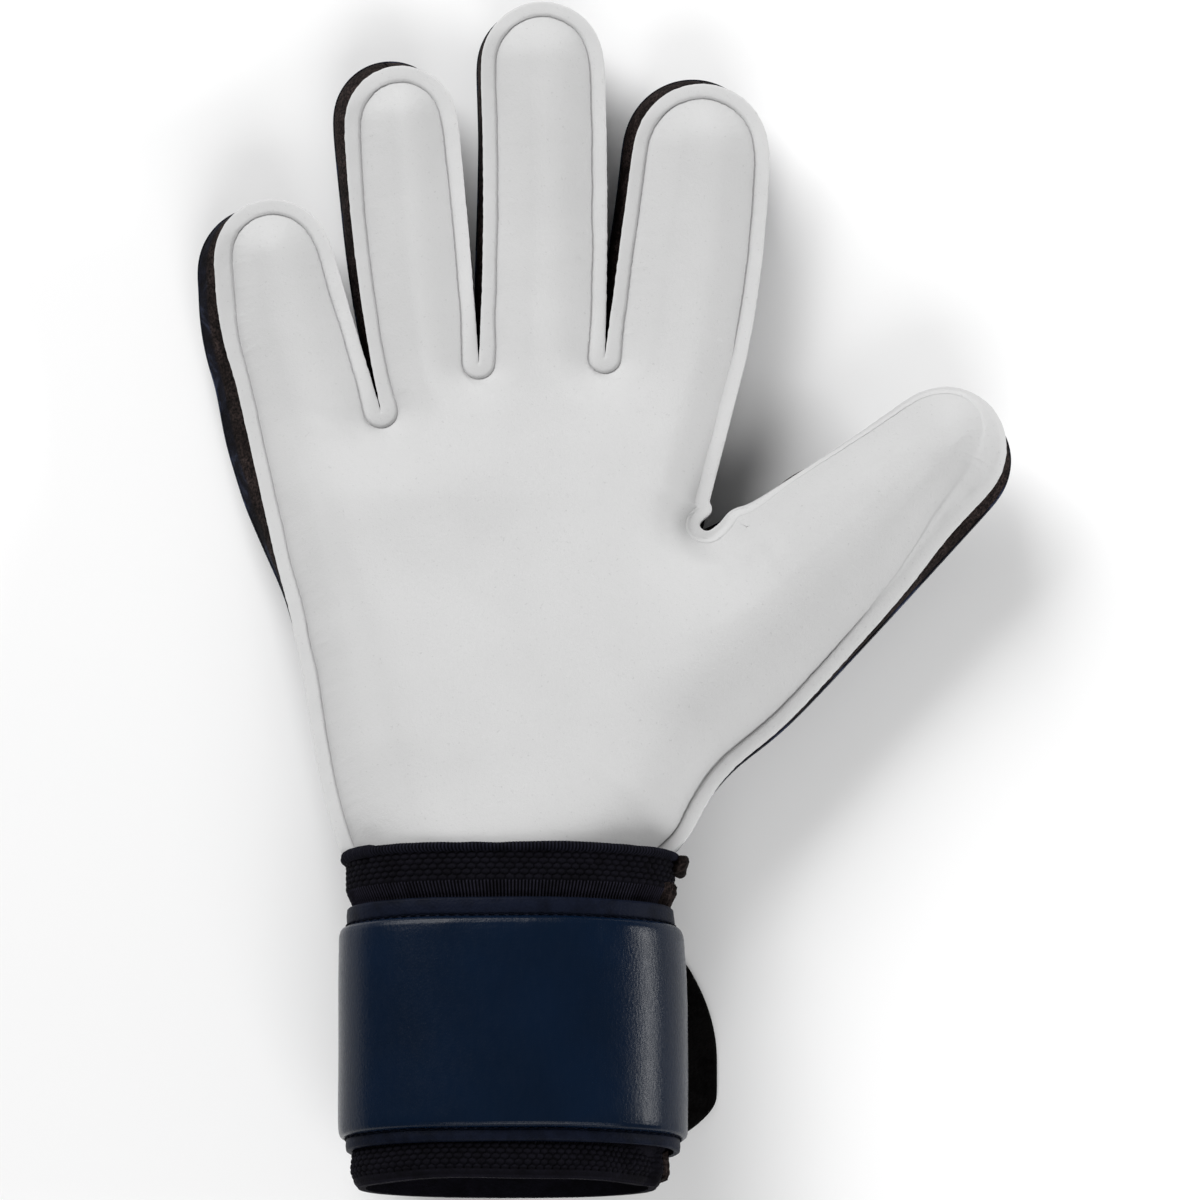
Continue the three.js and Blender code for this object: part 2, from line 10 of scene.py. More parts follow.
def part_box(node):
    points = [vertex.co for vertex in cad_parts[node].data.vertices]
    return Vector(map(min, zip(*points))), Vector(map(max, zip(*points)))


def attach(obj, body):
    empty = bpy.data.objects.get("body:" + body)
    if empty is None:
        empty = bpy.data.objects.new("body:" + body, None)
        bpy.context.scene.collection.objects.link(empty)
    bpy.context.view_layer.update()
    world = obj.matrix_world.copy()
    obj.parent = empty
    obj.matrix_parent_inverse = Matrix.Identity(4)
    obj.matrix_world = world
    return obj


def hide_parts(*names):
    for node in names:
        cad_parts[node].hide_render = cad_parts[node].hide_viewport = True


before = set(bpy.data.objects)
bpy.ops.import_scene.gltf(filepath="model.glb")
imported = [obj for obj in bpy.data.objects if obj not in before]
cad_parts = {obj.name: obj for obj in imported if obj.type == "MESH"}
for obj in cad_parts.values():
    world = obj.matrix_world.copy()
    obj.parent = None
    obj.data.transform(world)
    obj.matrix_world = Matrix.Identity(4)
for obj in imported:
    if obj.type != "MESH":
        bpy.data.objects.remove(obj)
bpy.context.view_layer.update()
MM = 0.001

# Hand, with the sizes of the solids
PALM_LENGTH = 127.3
PALM_WIDTH = 124.0
FINGER_LENGTH = 85.2
FINGER_WIDTH = 30.2
THUMB_LENGTH = 94.0
THUMB_WIDTH = 31.2
FINGER_DEPTH = 22.0
FINGER_LIFT = 7.0
THUMB_LIFT = 11.0

# Cuff and strap
CUFF_WIDTH = 79.0
CUFF_DEPTH = 47.0
CUFF_LENGTH = 77.1
CUFF_WAIST = 1.7
STRAP_LENGTH = 58.0
STRAP_START = 10.6
STRAP_EDGE_WIDTH = 4.4
LOWER_EDGE_WIDTH = 3.0
TUCK = 6.0
TUCK_INSET = 1.0
SHOULDER_FALL = 1.0
TAB_REACH = 7.3
STRAP_END = STRAP_START + STRAP_LENGTH

# Thicknesses and seams
PALM_FOAM = 4.0
BACK_FOAM = 2.5
GUSSET_CLOTH = 1.2
CUFF_KNIT = 1.8
BINDING_WIDTH = 2.2
BINDING_RISE = 0.5
STRAP_PADDING = 3.4
STRAP_EDGE = 1.5
TAB_THICKNESS = 2.5
SEAM_INSET = 3.5
PINCH = 1.8
GAP = 0.3

# Corners of the plan, as shares of the palm's width and length. The roots lie where the photograph has them.
ROOTS = ((-0.546, 0.953), (-0.26, 0.885), (-0.07, 0.98), (0.176, 0.991), (0.454, 0.997))
CROTCH = (0.373, 0.659)
HEEL = (0.37, 0.103)

# Fingers, with the thumb last: lengths as shares of the middle finger's or the thumb's own, lean in degrees, and
# how far the sides swell and the back layer stands out on the left, the right and the tip, in shares of the width
FINGERS = (
    dict(length=0.57, width=0.954, lean=-14.5, curl=0.7, swell=(0.04, 0.0), back=(0.16, -0.07, 0.035)),
    dict(length=0.926, width=0.915, lean=-6.3, curl=0.9, swell=(0.05, 0.01), back=(0.1, -0.07, 0.13)),
    dict(length=1.028, width=1.0, lean=0.1, curl=1.0, swell=(-0.03, 0.02), back=(0.04, -0.07, 0.03)),
    dict(length=0.784, width=1.1, lean=7.1, curl=0.8, swell=(0.0, 0.03), back=(0.09, -0.06, 0.09)),
    dict(length=1.0, width=1.0, lean=47.5, curl=1.0, swell=(-0.03, 0.0), back=(-0.07, 0.03, -0.008)),
)
THUMB = 4
RUNS = ("gusset_pinky_side", "gusset_pinky_ring", "gusset_ring_middle", "gusset_middle_index",
        "gusset_index_thumb", "gusset_thumb_side")

# How far the back layer stands out past the pinky side of the palm, from the pinky's root to the wrist
PINKY_SIDE = ((0.0, 0.17), (0.12, 0.19), (0.25, 0.15), (0.42, 0.01), (0.8, -0.05), (1.0, -0.04))
WRIST_SWELL = ((0, 0.9), (4, 1.4), (10, 2.0), (16, 2.2), (25, 2.0), (35, 1.3), (45, 0.4), (55, 0.2), (65, 0.0),
               (75, 0.5), (90, 0.3), (120, 0.0))  # of the palm's pinky side, at places from the wrist
BACK_CROTCH_RISE = 0.12
# How far the back layer bulges out on the left of a finger, from its root to its tip
BACK_BULGE = ((0.0, 0.0), (0.07, 0.8), (0.15, 1.5), (0.3, 1.6), (0.5, 1.1), (0.75, 0.3), (1.0, 0.0))
BACK_INSET = 0.03

# Heights, at the wrist and at the fingers
RIM_SHARE = (0.4, 0.32)
SEAM_SHARE = (0.53, 0.69)
CROWN_POWER = (3.5, 2.0)
DISH_POWER = 2.5
REST_FROM = 0.44
CUFF_POWER = 2.4

# Thumb's crotch: the cut edge of the palm curls round a small hole. Places are from the crotch.
CROTCH_EDGE = (
    (1.1, 7.5), (0.95, 6.0), (1.5, 4.6), (1.2, 3.3), (0.1, 2.4), (-1.2, 1.4), (-1.8, 0.3), (-0.9, -0.9),
    (0.5, -1.3), (1.9, -0.3), (3.2, 0.7), (4.3, 2.1), (5.5, 3.5), (7.1, 4.4), (9.7, 5.1), (13.3, 7.0),
    (19.7, 11.0),
)
WEB_END = 0.5  # where the crotch's edge joins the thumb's own side, as a share of that side

# Seam along the thumb's upper side, which is rolled over instead of laid flat, round its tip's arc, and from its
# root to the tip on the other side: place, width of the lip and depth of the groove, as shares of those elsewhere
ROLLED_SIDE = ((0.0, 1.0, 0.9), (0.12, 0.95, 0.5), (0.25, 0.7, 0.25), (0.42, 0.35, 0.15), (0.6, 0.35, 0.25),
               (0.8, 0.42, 0.35), (1.0, 0.5, 0.4))
THUMB_TIP = ((0.0, 0.5, 0.4), (0.4, 0.6, 0.35), (0.6, 1.5, 0.3), (0.75, 2.1, 0.3), (1.0, 2.3, 0.32))
THUMB_SIDE = ((0.0, 1.0, 1.15), (0.5, 1.05, 1.0), (0.8, 1.35, 0.8), (1.0, 2.2, 0.42))

# Where the outline is drawn in: place, reach and depth, of the palm alone and of both layers
PALM_DENTS = ((105.0, 82.0, 13.0, 1.2), (116.0, 100.0, 12.0, 0.8))
DENTS = ((54.0, 21.0, 13.0, 2.3),)

# Section of the lip and the groove: place as a share of the lip's width, and height as a share of the lip's
# rise over the stitches
LIP_ROWS = ((0.0, 0.76), (0.06, 0.93), (0.14, 1.0), (0.28, 1.02), (0.45, 1.02), (0.62, 1.0), (0.78, 0.97),
            (0.88, 0.84), (0.95, 0.42), (1.0, 0.0))
LIP_RISE = 0.85
RAGGED = 0.14
PINKY_LIP = 0.3  # how much wider the lip is along the pinky's outer side
RING_TIP_LIP = 0.22  # how much wider the lip is round the ring finger's tip
ROOT_LIP = 0.14  # how much wider the lip is round the roots between fingers
PUFF = 0.55  # how steeply the foam swells up beside the stitches
PUFF_REACH = 0.6

# Facets
STEP = 0.7  # along the outlines
TUCK_STEPS = 12  # along each side of the part tucked into the cuff
LIP_RINGS = (0.06, 0.14, 0.28, 0.45, 0.62, 0.78, 0.88, 0.95, 1.0, 1.05, 1.13, 1.26, 1.45, 1.75, 2.1)
PALM_GRID = 1.35
UNDER_RINGS = (1.1, 1.6, 2.3)
UNDER_GRID = 4.0
BACK_RINGS = (0.12, 0.3, 0.6, 1.0, 1.5, 2.1, 2.8)
BACK_GRID = 3.0


# Helpers
def mix(a, b, t):
    return a + (b - a) * t


def clamp(t):
    return np.clip(t, 0.0, 1.0)


def ease(t):
    return clamp(t) ** 2 * (3 - 2 * clamp(t))


def rise(share, power):
    return 1 - (1 - clamp(share)) ** power


def column(rows, at, index=1):
    """One column of a table at a place along it, with straight lines between its rows."""
    return np.interp(at, [row[0] for row in rows], [row[index] for row in rows])


def point(x, y):
    return np.array([float(x), float(y)])


def turn_right(v):
    return np.stack([v[..., 1], -v[..., 0]], -1)


def unit(v):
    return v / np.maximum(np.linalg.norm(v, axis=-1, keepdims=True), 1e-9)


def resample(points, count):
    """A polyline as evenly spaced points."""
    along = np.concatenate([[0], np.cumsum(np.linalg.norm(np.diff(points, axis=0), axis=1))])
    at = np.linspace(0, along[-1], count)
    return np.stack([np.interp(at, along, points[:, axis]) for axis in range(points.shape[1])], 1)


def smooth_curve(points, count):
    """A Catmull-Rom curve through the points, evenly spaced."""
    p = np.array(points, float)
    p = np.concatenate([[2 * p[0] - p[1]], p, [2 * p[-1] - p[-2]]])
    out = []
    for a, b, c, d in zip(p[:-3], p[1:-2], p[2:-1], p[3:]):
        t = np.linspace(0, 1, 12, endpoint=False)[:, None]
        out.append(0.5 * (2 * b + (c - a) * t + (2 * a - 5 * b + 4 * c - d) * t**2
                          + (3 * b - a - 3 * c + d) * t**3))
    out.append(p[-2:-1])
    return resample(np.concatenate(out), count)


def noise_at(points, size, seed=0.0):
    """Smooth noise from -1 to 1, with features of that size, at points given as rows or as a tuple of columns."""
    scaled = (np.column_stack(points) if isinstance(points, tuple) else points) / size + seed
    if scaled.shape[1] == 2:
        scaled = np.column_stack([scaled, np.full(len(scaled), seed)])
    return np.array([noise.noise(Vector(p)) for p in scaled])


def near(points, place, reach):
    """How near each point is to a place: 1 there, and almost 0 at twice the reach."""
    return np.exp(-(((points - place) / reach) ** 2).sum(1))


def tube_faces(count, size):
    """Faces of a tube of that many sections, with that many points in each, and of its two ends."""
    sides = [(i * size + j, i * size + (j + 1) % size, (i + 1) * size + (j + 1) % size, (i + 1) * size + j)
             for i in range(count - 1) for j in range(size)]
    return [*sides, tuple(range(size)), tuple(range((count - 1) * size, count * size))[::-1]]


def node_box(name):
    low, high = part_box(name)
    return np.array(low) / MM, np.array(high) / MM


# Places from the frame
cuff_low, cuff_high = node_box("cuff_bandage")
WRIST_X = (cuff_low[0] + cuff_high[0]) / 2
WRIST_Z = (cuff_low[2] + cuff_high[2]) / 2
SEAM_Y = cuff_high[1]
CUFF_HALF = np.array([CUFF_WIDTH, CUFF_DEPTH]) / 2
HAND_HALF = CUFF_HALF - CUFF_KNIT - 2 * GAP
STRAP_INSIDE = CUFF_HALF + GAP - CUFF_WAIST
BINDING_TOP = GAP + BINDING_WIDTH
WRIST_EDGE_Y = BINDING_TOP + GAP + SHOULDER_FALL
CORNER_Y = BINDING_TOP - 0.7  # where the palm turns in under the binding


# Meshes
def link_object(name, data):
    made = bpy.data.objects.new(name, data)
    bpy.context.scene.collection.objects.link(made)
    return made


def make_piece(name, points, faces, material, slot=None, sharp=50.0, uv=None):
    """A piece from points drawn from the wrist seam. It replaces the node of its own name, which it hides, unless
    a slot is given; then it hides no node."""
    shifted = (np.asarray(points, float) + [WRIST_X, SEAM_Y, 0]) * MM
    mesh = bpy.data.meshes.new(name)
    mesh.from_pydata(shifted.tolist(), [], [tuple(int(i) for i in face) for face in faces])
    if uv is not None:
        layer = mesh.uv_layers.new(name="UVMap")
        loops = np.zeros(len(mesh.loops), int)
        mesh.loops.foreach_get("vertex_index", loops)
        layer.data.foreach_set("uv", np.asarray(uv, float)[loops].ravel())
    shape = bmesh.new()
    shape.from_mesh(mesh)
    bmesh.ops.recalc_face_normals(shape, faces=shape.faces)
    shape.to_mesh(mesh)
    shape.free()
    mesh.shade_smooth()
    mesh.set_sharp_from_angle(angle=math.radians(sharp))
    mesh.materials.append(material)
    piece = link_object(name, mesh)
    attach(piece, "root")
    if slot is None:
        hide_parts(name)
    return piece


# Plan of the hand
def plan_of(is_back):
    place = lambda share: point(share[0] * PALM_WIDTH, share[1] * PALM_LENGTH)
    inset = BACK_INSET * FINGER_WIDTH if is_back else 0.0
    roots = [place(share) for share in ROOTS]
    crotch = place(CROTCH) + point(-inset, inset)
    heel = place(HEEL) + point(-inset, 0)
    if is_back:
        for root in roots[1:THUMB]:
            root += point(0, BACK_CROTCH_RISE * FINGER_WIDTH)
        roots[0] += point(-PINKY_SIDE[0][1] * FINGER_WIDTH, 0)
        roots[THUMB] += point(-inset, 0)
    fingers = []
    for i, row in enumerate(FINGERS):
        own_width, own_length, shares, ends = (
            (THUMB_WIDTH, THUMB_LENGTH, (CROTCH, HEEL), (crotch, heel)) if i == THUMB else
            (FINGER_WIDTH, FINGER_LENGTH, ROOTS[i:i + 2], roots[i:i + 2]))
        width, length = row["width"] * own_width, row["length"] * own_length
        base = (place(shares[0]) + place(shares[1])) / 2
        lean = math.radians(row["lean"])
        axis = point(math.sin(lean), math.cos(lean))
        across = turn_right(axis)
        left, right, tip_out = [share * width if is_back else 0.0 for share in row["back"]]
        radius = (width + left + right) / 2
        tip = base + axis * (length + tip_out - radius) + across * (right - left) / 2
        fingers.append(dict(ends=ends, base=base, axis=axis, across=across, length=length, width=width,
                            radius=radius, tip=tip, swell=[share * width for share in row["swell"]]))
    return dict(is_back=is_back, roots=roots, crotch=crotch, heel=heel, fingers=fingers, inset=inset)


def finger_side(finger, side, t):
    sign = -1 if side == 0 else 1
    end = finger["tip"] + sign * finger["radius"] * finger["across"]
    t = np.asarray(t, float)[:, None]
    return mix(finger["ends"][side], end, t) + sign * finger["swell"][side] * 4 * t * (1 - t) * finger["across"]


def finger_arc(finger, start, end, count):
    angle = np.linspace(math.radians(start), math.radians(end), count, endpoint=False)[:, None]
    return finger["tip"] + finger["radius"] * (np.sin(angle) * finger["axis"] - np.cos(angle) * finger["across"])


def seam_shares(rows, at):
    """Width of the lip and depth of the groove at places along one of the thumb's tables."""
    return column(rows, at), column(rows, at, 2)


def trace(plan):
    """The outline of a layer from the left of the wrist round every fingertip to its right: points, the gusset
    beside each, how freely each may be smoothed, and the width of the lip and depth of the groove there."""
    parts = []
    is_back = plan["is_back"]

    def add(points, run, free=1.0, lip=1.0, groove=1.0):
        ones = np.ones(len(points))
        parts.append((np.asarray(points, float), ones * run, ones * free, ones * lip, ones * groove))

    tuck_x = HAND_HALF[0] - TUCK_INSET - plan["inset"]
    wrist = point(CUFF_HALF[0], CORNER_Y)
    shoulder = point(tuck_x, CORNER_Y - SHOULDER_FALL)
    tuck = point(tuck_x, -TUCK)
    mirror = point(-1, 1)
    add(resample(np.array([tuck, shoulder]) * mirror, TUCK_STEPS + 1)[:-1], 0, 0)
    top = point(ROOTS[0][0] * PALM_WIDTH, ROOTS[0][1] * PALM_LENGTH)
    count = int((top[1] - wrist[1]) / STEP)
    down = np.linspace(1, 0, count, endpoint=False)
    side = mix(top, wrist * mirror, down[:, None])
    side[:, 0] -= column(WRIST_SWELL, side[:, 1])
    if is_back:
        side[:, 0] -= column(PINKY_SIDE, down) * FINGER_WIDTH
    add(side, 0, ease((1 - down) * 12))
    for i, finger in enumerate(plan["fingers"]):
        steps = int(finger["length"] * 0.8 / STEP)
        if i == THUMB:
            web = [plan["roots"][THUMB], plan["crotch"], finger_side(finger, 0, [WEB_END])[0]]
            web_steps = int(np.linalg.norm(web[1] - web[0]) / STEP) + int(steps * WEB_END)
            if is_back:
                web = resample(np.array(web), 2 * web_steps)
            else:
                edge = np.array(CROTCH_EDGE) + plan["crotch"]
                web = smooth_curve([web[0], mix(web[0], edge[0], 0.5), *edge, web[2]], 2 * web_steps)
            along = np.linspace(0, 1, len(web), endpoint=False)
            on_thumb = clamp((along - 0.55) / 0.45) * WEB_END
            add(web[:-1], i, 0.25, *seam_shares(ROLLED_SIDE, on_thumb[:-1]))
            t = np.linspace(WEB_END, 1, int(steps * (1 - WEB_END)), endpoint=False)
            add(finger_side(finger, 0, t), i, 1, *seam_shares(ROLLED_SIDE, t))
        else:
            t = np.linspace(0, 1, steps, endpoint=False)
            free = np.where(t > 0, 1.0, 0.0) if i else np.ones(len(t))
            bulge = column(BACK_BULGE, t) if is_back and i else t * 0
            add(finger_side(finger, 0, t) - bulge[:, None] * finger["across"], i, free)
        arc_steps = int(FINGER_WIDTH / 2 * math.pi / 2 / STEP) + 2
        for half in (0, 1):
            at = (np.arange(arc_steps) / arc_steps + half) / 2
            seam = seam_shares(THUMB_TIP, at) if i == THUMB else ()
            add(finger_arc(finger, 90 * half, 90 * (half + 1), arc_steps), i + half, 1, *seam)
        t = np.linspace(1, 0, steps, endpoint=False)
        add(finger_side(finger, 1, t), i + 1, 1, *(seam_shares(THUMB_SIDE, t) if i == THUMB else ()))
    heel_to_wrist = resample(np.array([plan["heel"], wrist - point(plan["inset"], 0)]), 16)
    add(heel_to_wrist[:-1], 5)
    add(resample(np.array([shoulder, tuck]), TUCK_STEPS), 5, 0)
    points, run, free, lip, groove = [np.concatenate(group) for group in zip(*parts)]
    for _ in range(40):
        middle = (points[:-2] + points[2:]) / 2
        points[1:-1] += 0.5 * free[1:-1, None] * (middle - points[1:-1])
    for _ in range(30):
        lip[1:-1] = (lip[:-2] + lip[2:]) / 2
        groove[1:-1] = (groove[:-2] + groove[2:]) / 2
    out = unit(turn_right(np.gradient(points, axis=0)))
    for x, y, reach, depth in DENTS + (() if is_back else PALM_DENTS):
        points += out * (depth * free * near(points, [x, y], reach))[:, None]
    notch = np.flatnonzero((free == 0) & (run > 0) & (run < 5) & (points[:, 1] > 0))
    if not is_back:
        along = np.concatenate([[0], np.cumsum(np.linalg.norm(np.diff(points, axis=0), axis=1))])
        line = (along, along * 0)
        ragged = RAGGED * noise_at(line, 1.5, 11.0) + 0.4 * RAGGED * noise_at(line, 7.5, 12.0)
        points += out * (ragged * free)[:, None]
        lip *= 1 + 0.07 * noise_at(line, 10, 13.0)
        pinky = plan["fingers"][0]
        beside = pinky["tip"] - pinky["radius"] * pinky["across"] - 4 * pinky["axis"]
        lip *= 1 + PINKY_LIP * near(points, beside, [9, 15])
        for root in plan["roots"][1:THUMB]:
            lip *= 1 + ROOT_LIP * near(points, root, 6)
        lip *= 1 + RING_TIP_LIP * near(points, plan["fingers"][1]["tip"], 16)
    return dict(points=points, run=run.astype(int), lip=lip * SEAM_INSET, groove=groove, notch=notch)


def with_normals(outline):
    """The outline with the direction into the layer at each point. A notch is there several times, once for
    each direction round it."""
    points = outline["points"]
    ahead = unit(np.diff(points, axis=0))
    before = np.concatenate([ahead[:1], ahead])
    after = np.concatenate([ahead, ahead[-1:]])
    index, normals = [], []
    for i in range(len(points)):
        if i in outline["notch"]:
            start = math.atan2(*turn_right(before[i])[::-1])
            end = math.atan2(*turn_right(after[i])[::-1])
            if end < start:
                end += 2 * math.pi
            for angle in np.linspace(start, end, 15):
                index.append(i)
                normals.append(point(math.cos(angle), math.sin(angle)))
        else:
            index.append(i)
            normals.append(turn_right(unit(before[i] + after[i])))
    return np.array(index), np.array(normals)


def edge_of(outline, points, line=None):
    """For each point its distance to the sewn edge, and the place on the outline that is nearest."""
    line = outline["points"] if line is None else line
    tree = kdtree.KDTree(len(line))
    for i, p in enumerate(line):
        tree.insert((p[0], p[1], 0), i)
    tree.balance()
    nearest = np.array([tree.find((p[0], p[1], 0))[1] for p in points])
    best = np.full(len(points), np.inf)
    for start in (nearest - 1, nearest):
        start = np.clip(start, 0, len(line) - 2)
        a, b = line[start], line[start + 1]
        along = b - a
        t = clamp(((points - a) * along).sum(1) / np.maximum((along**2).sum(1), 1e-12))
        best = np.minimum(best, np.linalg.norm(a + along * t[:, None] - points, axis=1))
    return best, nearest


palm_plan = plan_of(False)


def section_at(points):
    """The section of the hand at each point: lowest surface, rim of the back, underside of the lip, crest,
    distance from the edge at which these are reached, and how fast the palm rises."""
    share = clamp((points[:, 1] - WRIST_EDGE_Y) / (PALM_LENGTH - WRIST_EDGE_Y))
    to_fingers = ease(share)

    def section(low, depth, half, towards):
        return dict(low=low, rim=low + depth * mix(*RIM_SHARE, towards),
                    seam=low + depth * mix(*SEAM_SHARE, towards), crest=low + depth,
                    shoulder=half - SEAM_INSET, power=mix(*CROWN_POWER, towards))

    low = (WRIST_Z - HAND_HALF[1]) * np.maximum(0, 1 - share / REST_FROM) ** 2
    hand = section(low, mix(2 * HAND_HALF[1], FINGER_DEPTH, to_fingers),
                   mix(HAND_HALF[0], FINGER_WIDTH / 2, to_fingers), to_fingers)
    along, aside = [], []
    for finger in palm_plan["fingers"]:
        way = points - finger["base"]
        along.append(way @ finger["axis"] / finger["length"])
        aside.append(np.abs(way @ finger["across"]) / finger["width"])
    along, aside = np.array(along), np.array(aside)
    own = np.argmin(aside[:THUMB], 0)
    own_along = along[own, np.arange(len(points))]
    curl = np.array([row["curl"] for row in FINGERS])
    lift = FINGER_LIFT * curl[own] * np.maximum(own_along, 0) ** 2
    fade = 1 - ease((aside[THUMB] - 0.7) / 0.4)
    is_thumb = np.where(own_along > 0, 0, ease(along[THUMB]) * fade)
    thumb = section(THUMB_LIFT, FINGER_DEPTH, THUMB_WIDTH / 2, 1.0)
    for key in hand:
        hand[key] = mix(hand[key], thumb[key], is_thumb)
        if key in ("low", "rim", "seam", "crest"):
            hand[key] = hand[key] + lift
    return hand


ARCH_RISE = (1.2, 3.4)  # of the middle of the palm and of each finger over their sides, and of the thumb
KNUCKLE_FALL = 3.6  # of the palm towards the fingers
ARCH_REACH = (12.0, 16.0)

# Soft unevenness of the palm: place, half size across and along, turn in degrees and rise
MOUNDS = (
    (-26.0, 91.0, 21.0, 11.0, 8.0, 1.8), (24.0, 106.0, 18.0, 9.0, 6.0, 0.6),
    (46.0, 56.0, 34.0, 15.0, 42.0, 1.7), (76.0, 88.0, 34.0, 9.0, 42.5, 1.2),
    (76.0, 57.0, 42.0, 14.0, 42.5, -2.6), (-30.0, 44.0, 17.0, 34.0, 8.0, 0.6),
    (8.0, 26.0, 9.0, 14.0, -30.0, -1.0), (31.0, 30.0, 8.0, 15.0, -35.0, -1.1),
    (2.0, 64.0, 24.0, 20.0, 0.0, -0.7), (-39.5, 108.5, 8.0, 1.3, -18.0, -0.4),
    (-41.0, 105.6, 9.0, 1.6, -18.0, 0.3), (52.0, 74.5, 1.6, 8.0, 12.0, 0.25),
    (56.5, 76.0, 1.7, 8.5, 14.0, 0.28), (61.5, 78.5, 1.8, 9.0, 16.0, 0.25), (48.0, 71.0, 1.6, 7.0, 8.0, 0.2),
)


def mounds(points, beyond):
    out = 0.4 * noise_at(points, 24, 3.0) + 0.12 * noise_at(points, 9, 6.0)
    thumb = ease((points[:, 0] - 18) / 36)
    out += mix(*ARCH_RISE, thumb) * (1 - np.exp(-np.maximum(beyond, 0) / mix(*ARCH_REACH, thumb)))
    spread = 0.35 + 0.65 * np.exp(-(((points[:, 0] + 20) / 26) ** 2))
    out += KNUCKLE_FALL * spread * (1 - ease((points[:, 1] - 88) / 24)) * ease(points[:, 1] / 75)
    for x, y, across, along, turn, height in MOUNDS:
        c, s = math.cos(math.radians(turn)), math.sin(math.radians(turn))
        dx, dy = points[:, 0] - x, points[:, 1] - y
        out += height * np.exp(-(((dx * c + dy * s) / across) ** 2) - ((dy * c - dx * s) / along) ** 2)
    return out * ease(beyond / 9) * ease((points[:, 1] - 7) / 22)


# Surfaces of the palm and of the back layer, at a distance from their cut edges
def palm_top(points, edge, lip, groove, inside):
    s = section_at(points)
    foot = s["seam"] + PINCH - 0.5 * groove
    on_lip = LIP_RISE * groove * column(LIP_ROWS, edge / lip) * (1 + 0.14 * noise_at(points, 5, 2.0))
    beyond = np.maximum(edge - lip * groove, 0)
    crown = (s["crest"] - foot) * rise(beyond / s["shoulder"], s["power"])
    crown += PUFF * mix(mix(0.5, 1.0, groove), 1.0, inside) * (1 - np.exp(-beyond / PUFF_REACH))
    return foot + np.where(edge < lip, on_lip, 0) + crown + mounds(points, edge - lip)


def palm_underside(points, edge):
    s = section_at(points)
    height = s["crest"] - PALM_FOAM - s["seam"]
    return s["seam"] + height * rise((edge - SEAM_INSET - GAP) / s["shoulder"], s["power"])


def back_outside(points, edge):
    s = section_at(points)
    return s["rim"] - BACK_FOAM - (s["rim"] - BACK_FOAM - s["low"]) * rise(edge / s["shoulder"], DISH_POWER)


def back_inside(points, edge):
    s = section_at(points)
    depth = s["rim"] - BACK_FOAM - s["low"]
    return s["rim"] - depth * rise((edge - GUSSET_CLOTH - 2 * GAP) / s["shoulder"], DISH_POWER)


# Layers
def grid_points(outline, spacing):
    low, high = outline["points"].min(0), outline["points"].max(0)
    out = []
    for i, y in enumerate(np.arange(low[1], high[1], spacing * math.sqrt(0.75))):
        x = np.arange(low[0], high[0], spacing) + (i % 2) * spacing / 2
        out.append(np.column_stack([x, np.full(len(x), y)]))
    return np.concatenate(out)


def plan_mesh(outline, rings, spacing):
    """Points and triangles over a layer's plan. The first points are its outline."""
    line = outline["points"]
    index, normals = with_normals(outline)
    chosen = []
    for share in rings:
        inset = share * outline["lip"][index]
        ring = line[index] + normals * inset[:, None]
        distance, _ = edge_of(outline, ring)
        chosen.append(ring[distance > inset * 0.985 - 0.01])
    grid = grid_points(outline, spacing)
    distance, nearest = edge_of(outline, grid)
    chosen.append(grid[distance > rings[-1] * outline["lip"][nearest] + spacing * 0.45])
    inner = np.concatenate(chosen)
    inner = inner[inner[:, 1] > line[0, 1] + 0.3 * spacing]
    everything = np.concatenate([line, inner])
    count = len(line)
    edges = [(i, (i + 1) % count) for i in range(count)]
    result = delaunay_2d_cdt([Vector(p) for p in everything], edges, [], 1, 1e-5)
    made, faces, source = result[0], result[2], result[3]
    points = np.array([tuple(v) for v in made])
    order = np.array([min(ids) if ids else len(everything) for ids in source])
    sorted_ids = np.argsort(order, kind="stable")
    place = np.empty(len(points), int)
    place[sorted_ids] = np.arange(len(points))
    points = points[sorted_ids]
    triangles = place[np.array(faces)]
    a, b, c = points[triangles[:, 0]], points[triangles[:, 1]], points[triangles[:, 2]]
    area = (b[:, 0] - a[:, 0]) * (c[:, 1] - a[:, 1]) - (b[:, 1] - a[:, 1]) * (c[:, 0] - a[:, 0])
    triangles = triangles[np.abs(area) > 1e-9]
    flip = area[np.abs(area) > 1e-9] < 0
    triangles[flip] = triangles[flip][:, ::-1]
    return points, triangles, count


def sides_run_on(outline):
    """The outline with its two sides running straight on past the wrist, where the layer is tucked in."""
    line = outline["points"].copy()
    for span, corner, before in ((range(0, TUCK_STEPS), TUCK_STEPS, TUCK_STEPS + 12),
                                 (range(-1, -TUCK_STEPS - 1, -1), -TUCK_STEPS - 1, -TUCK_STEPS - 9)):
        way = unit(line[corner] - line[before])
        for step, i in enumerate(span):
            line[i] = line[corner] + way * (TUCK_STEPS - step) * 1.2
    return line


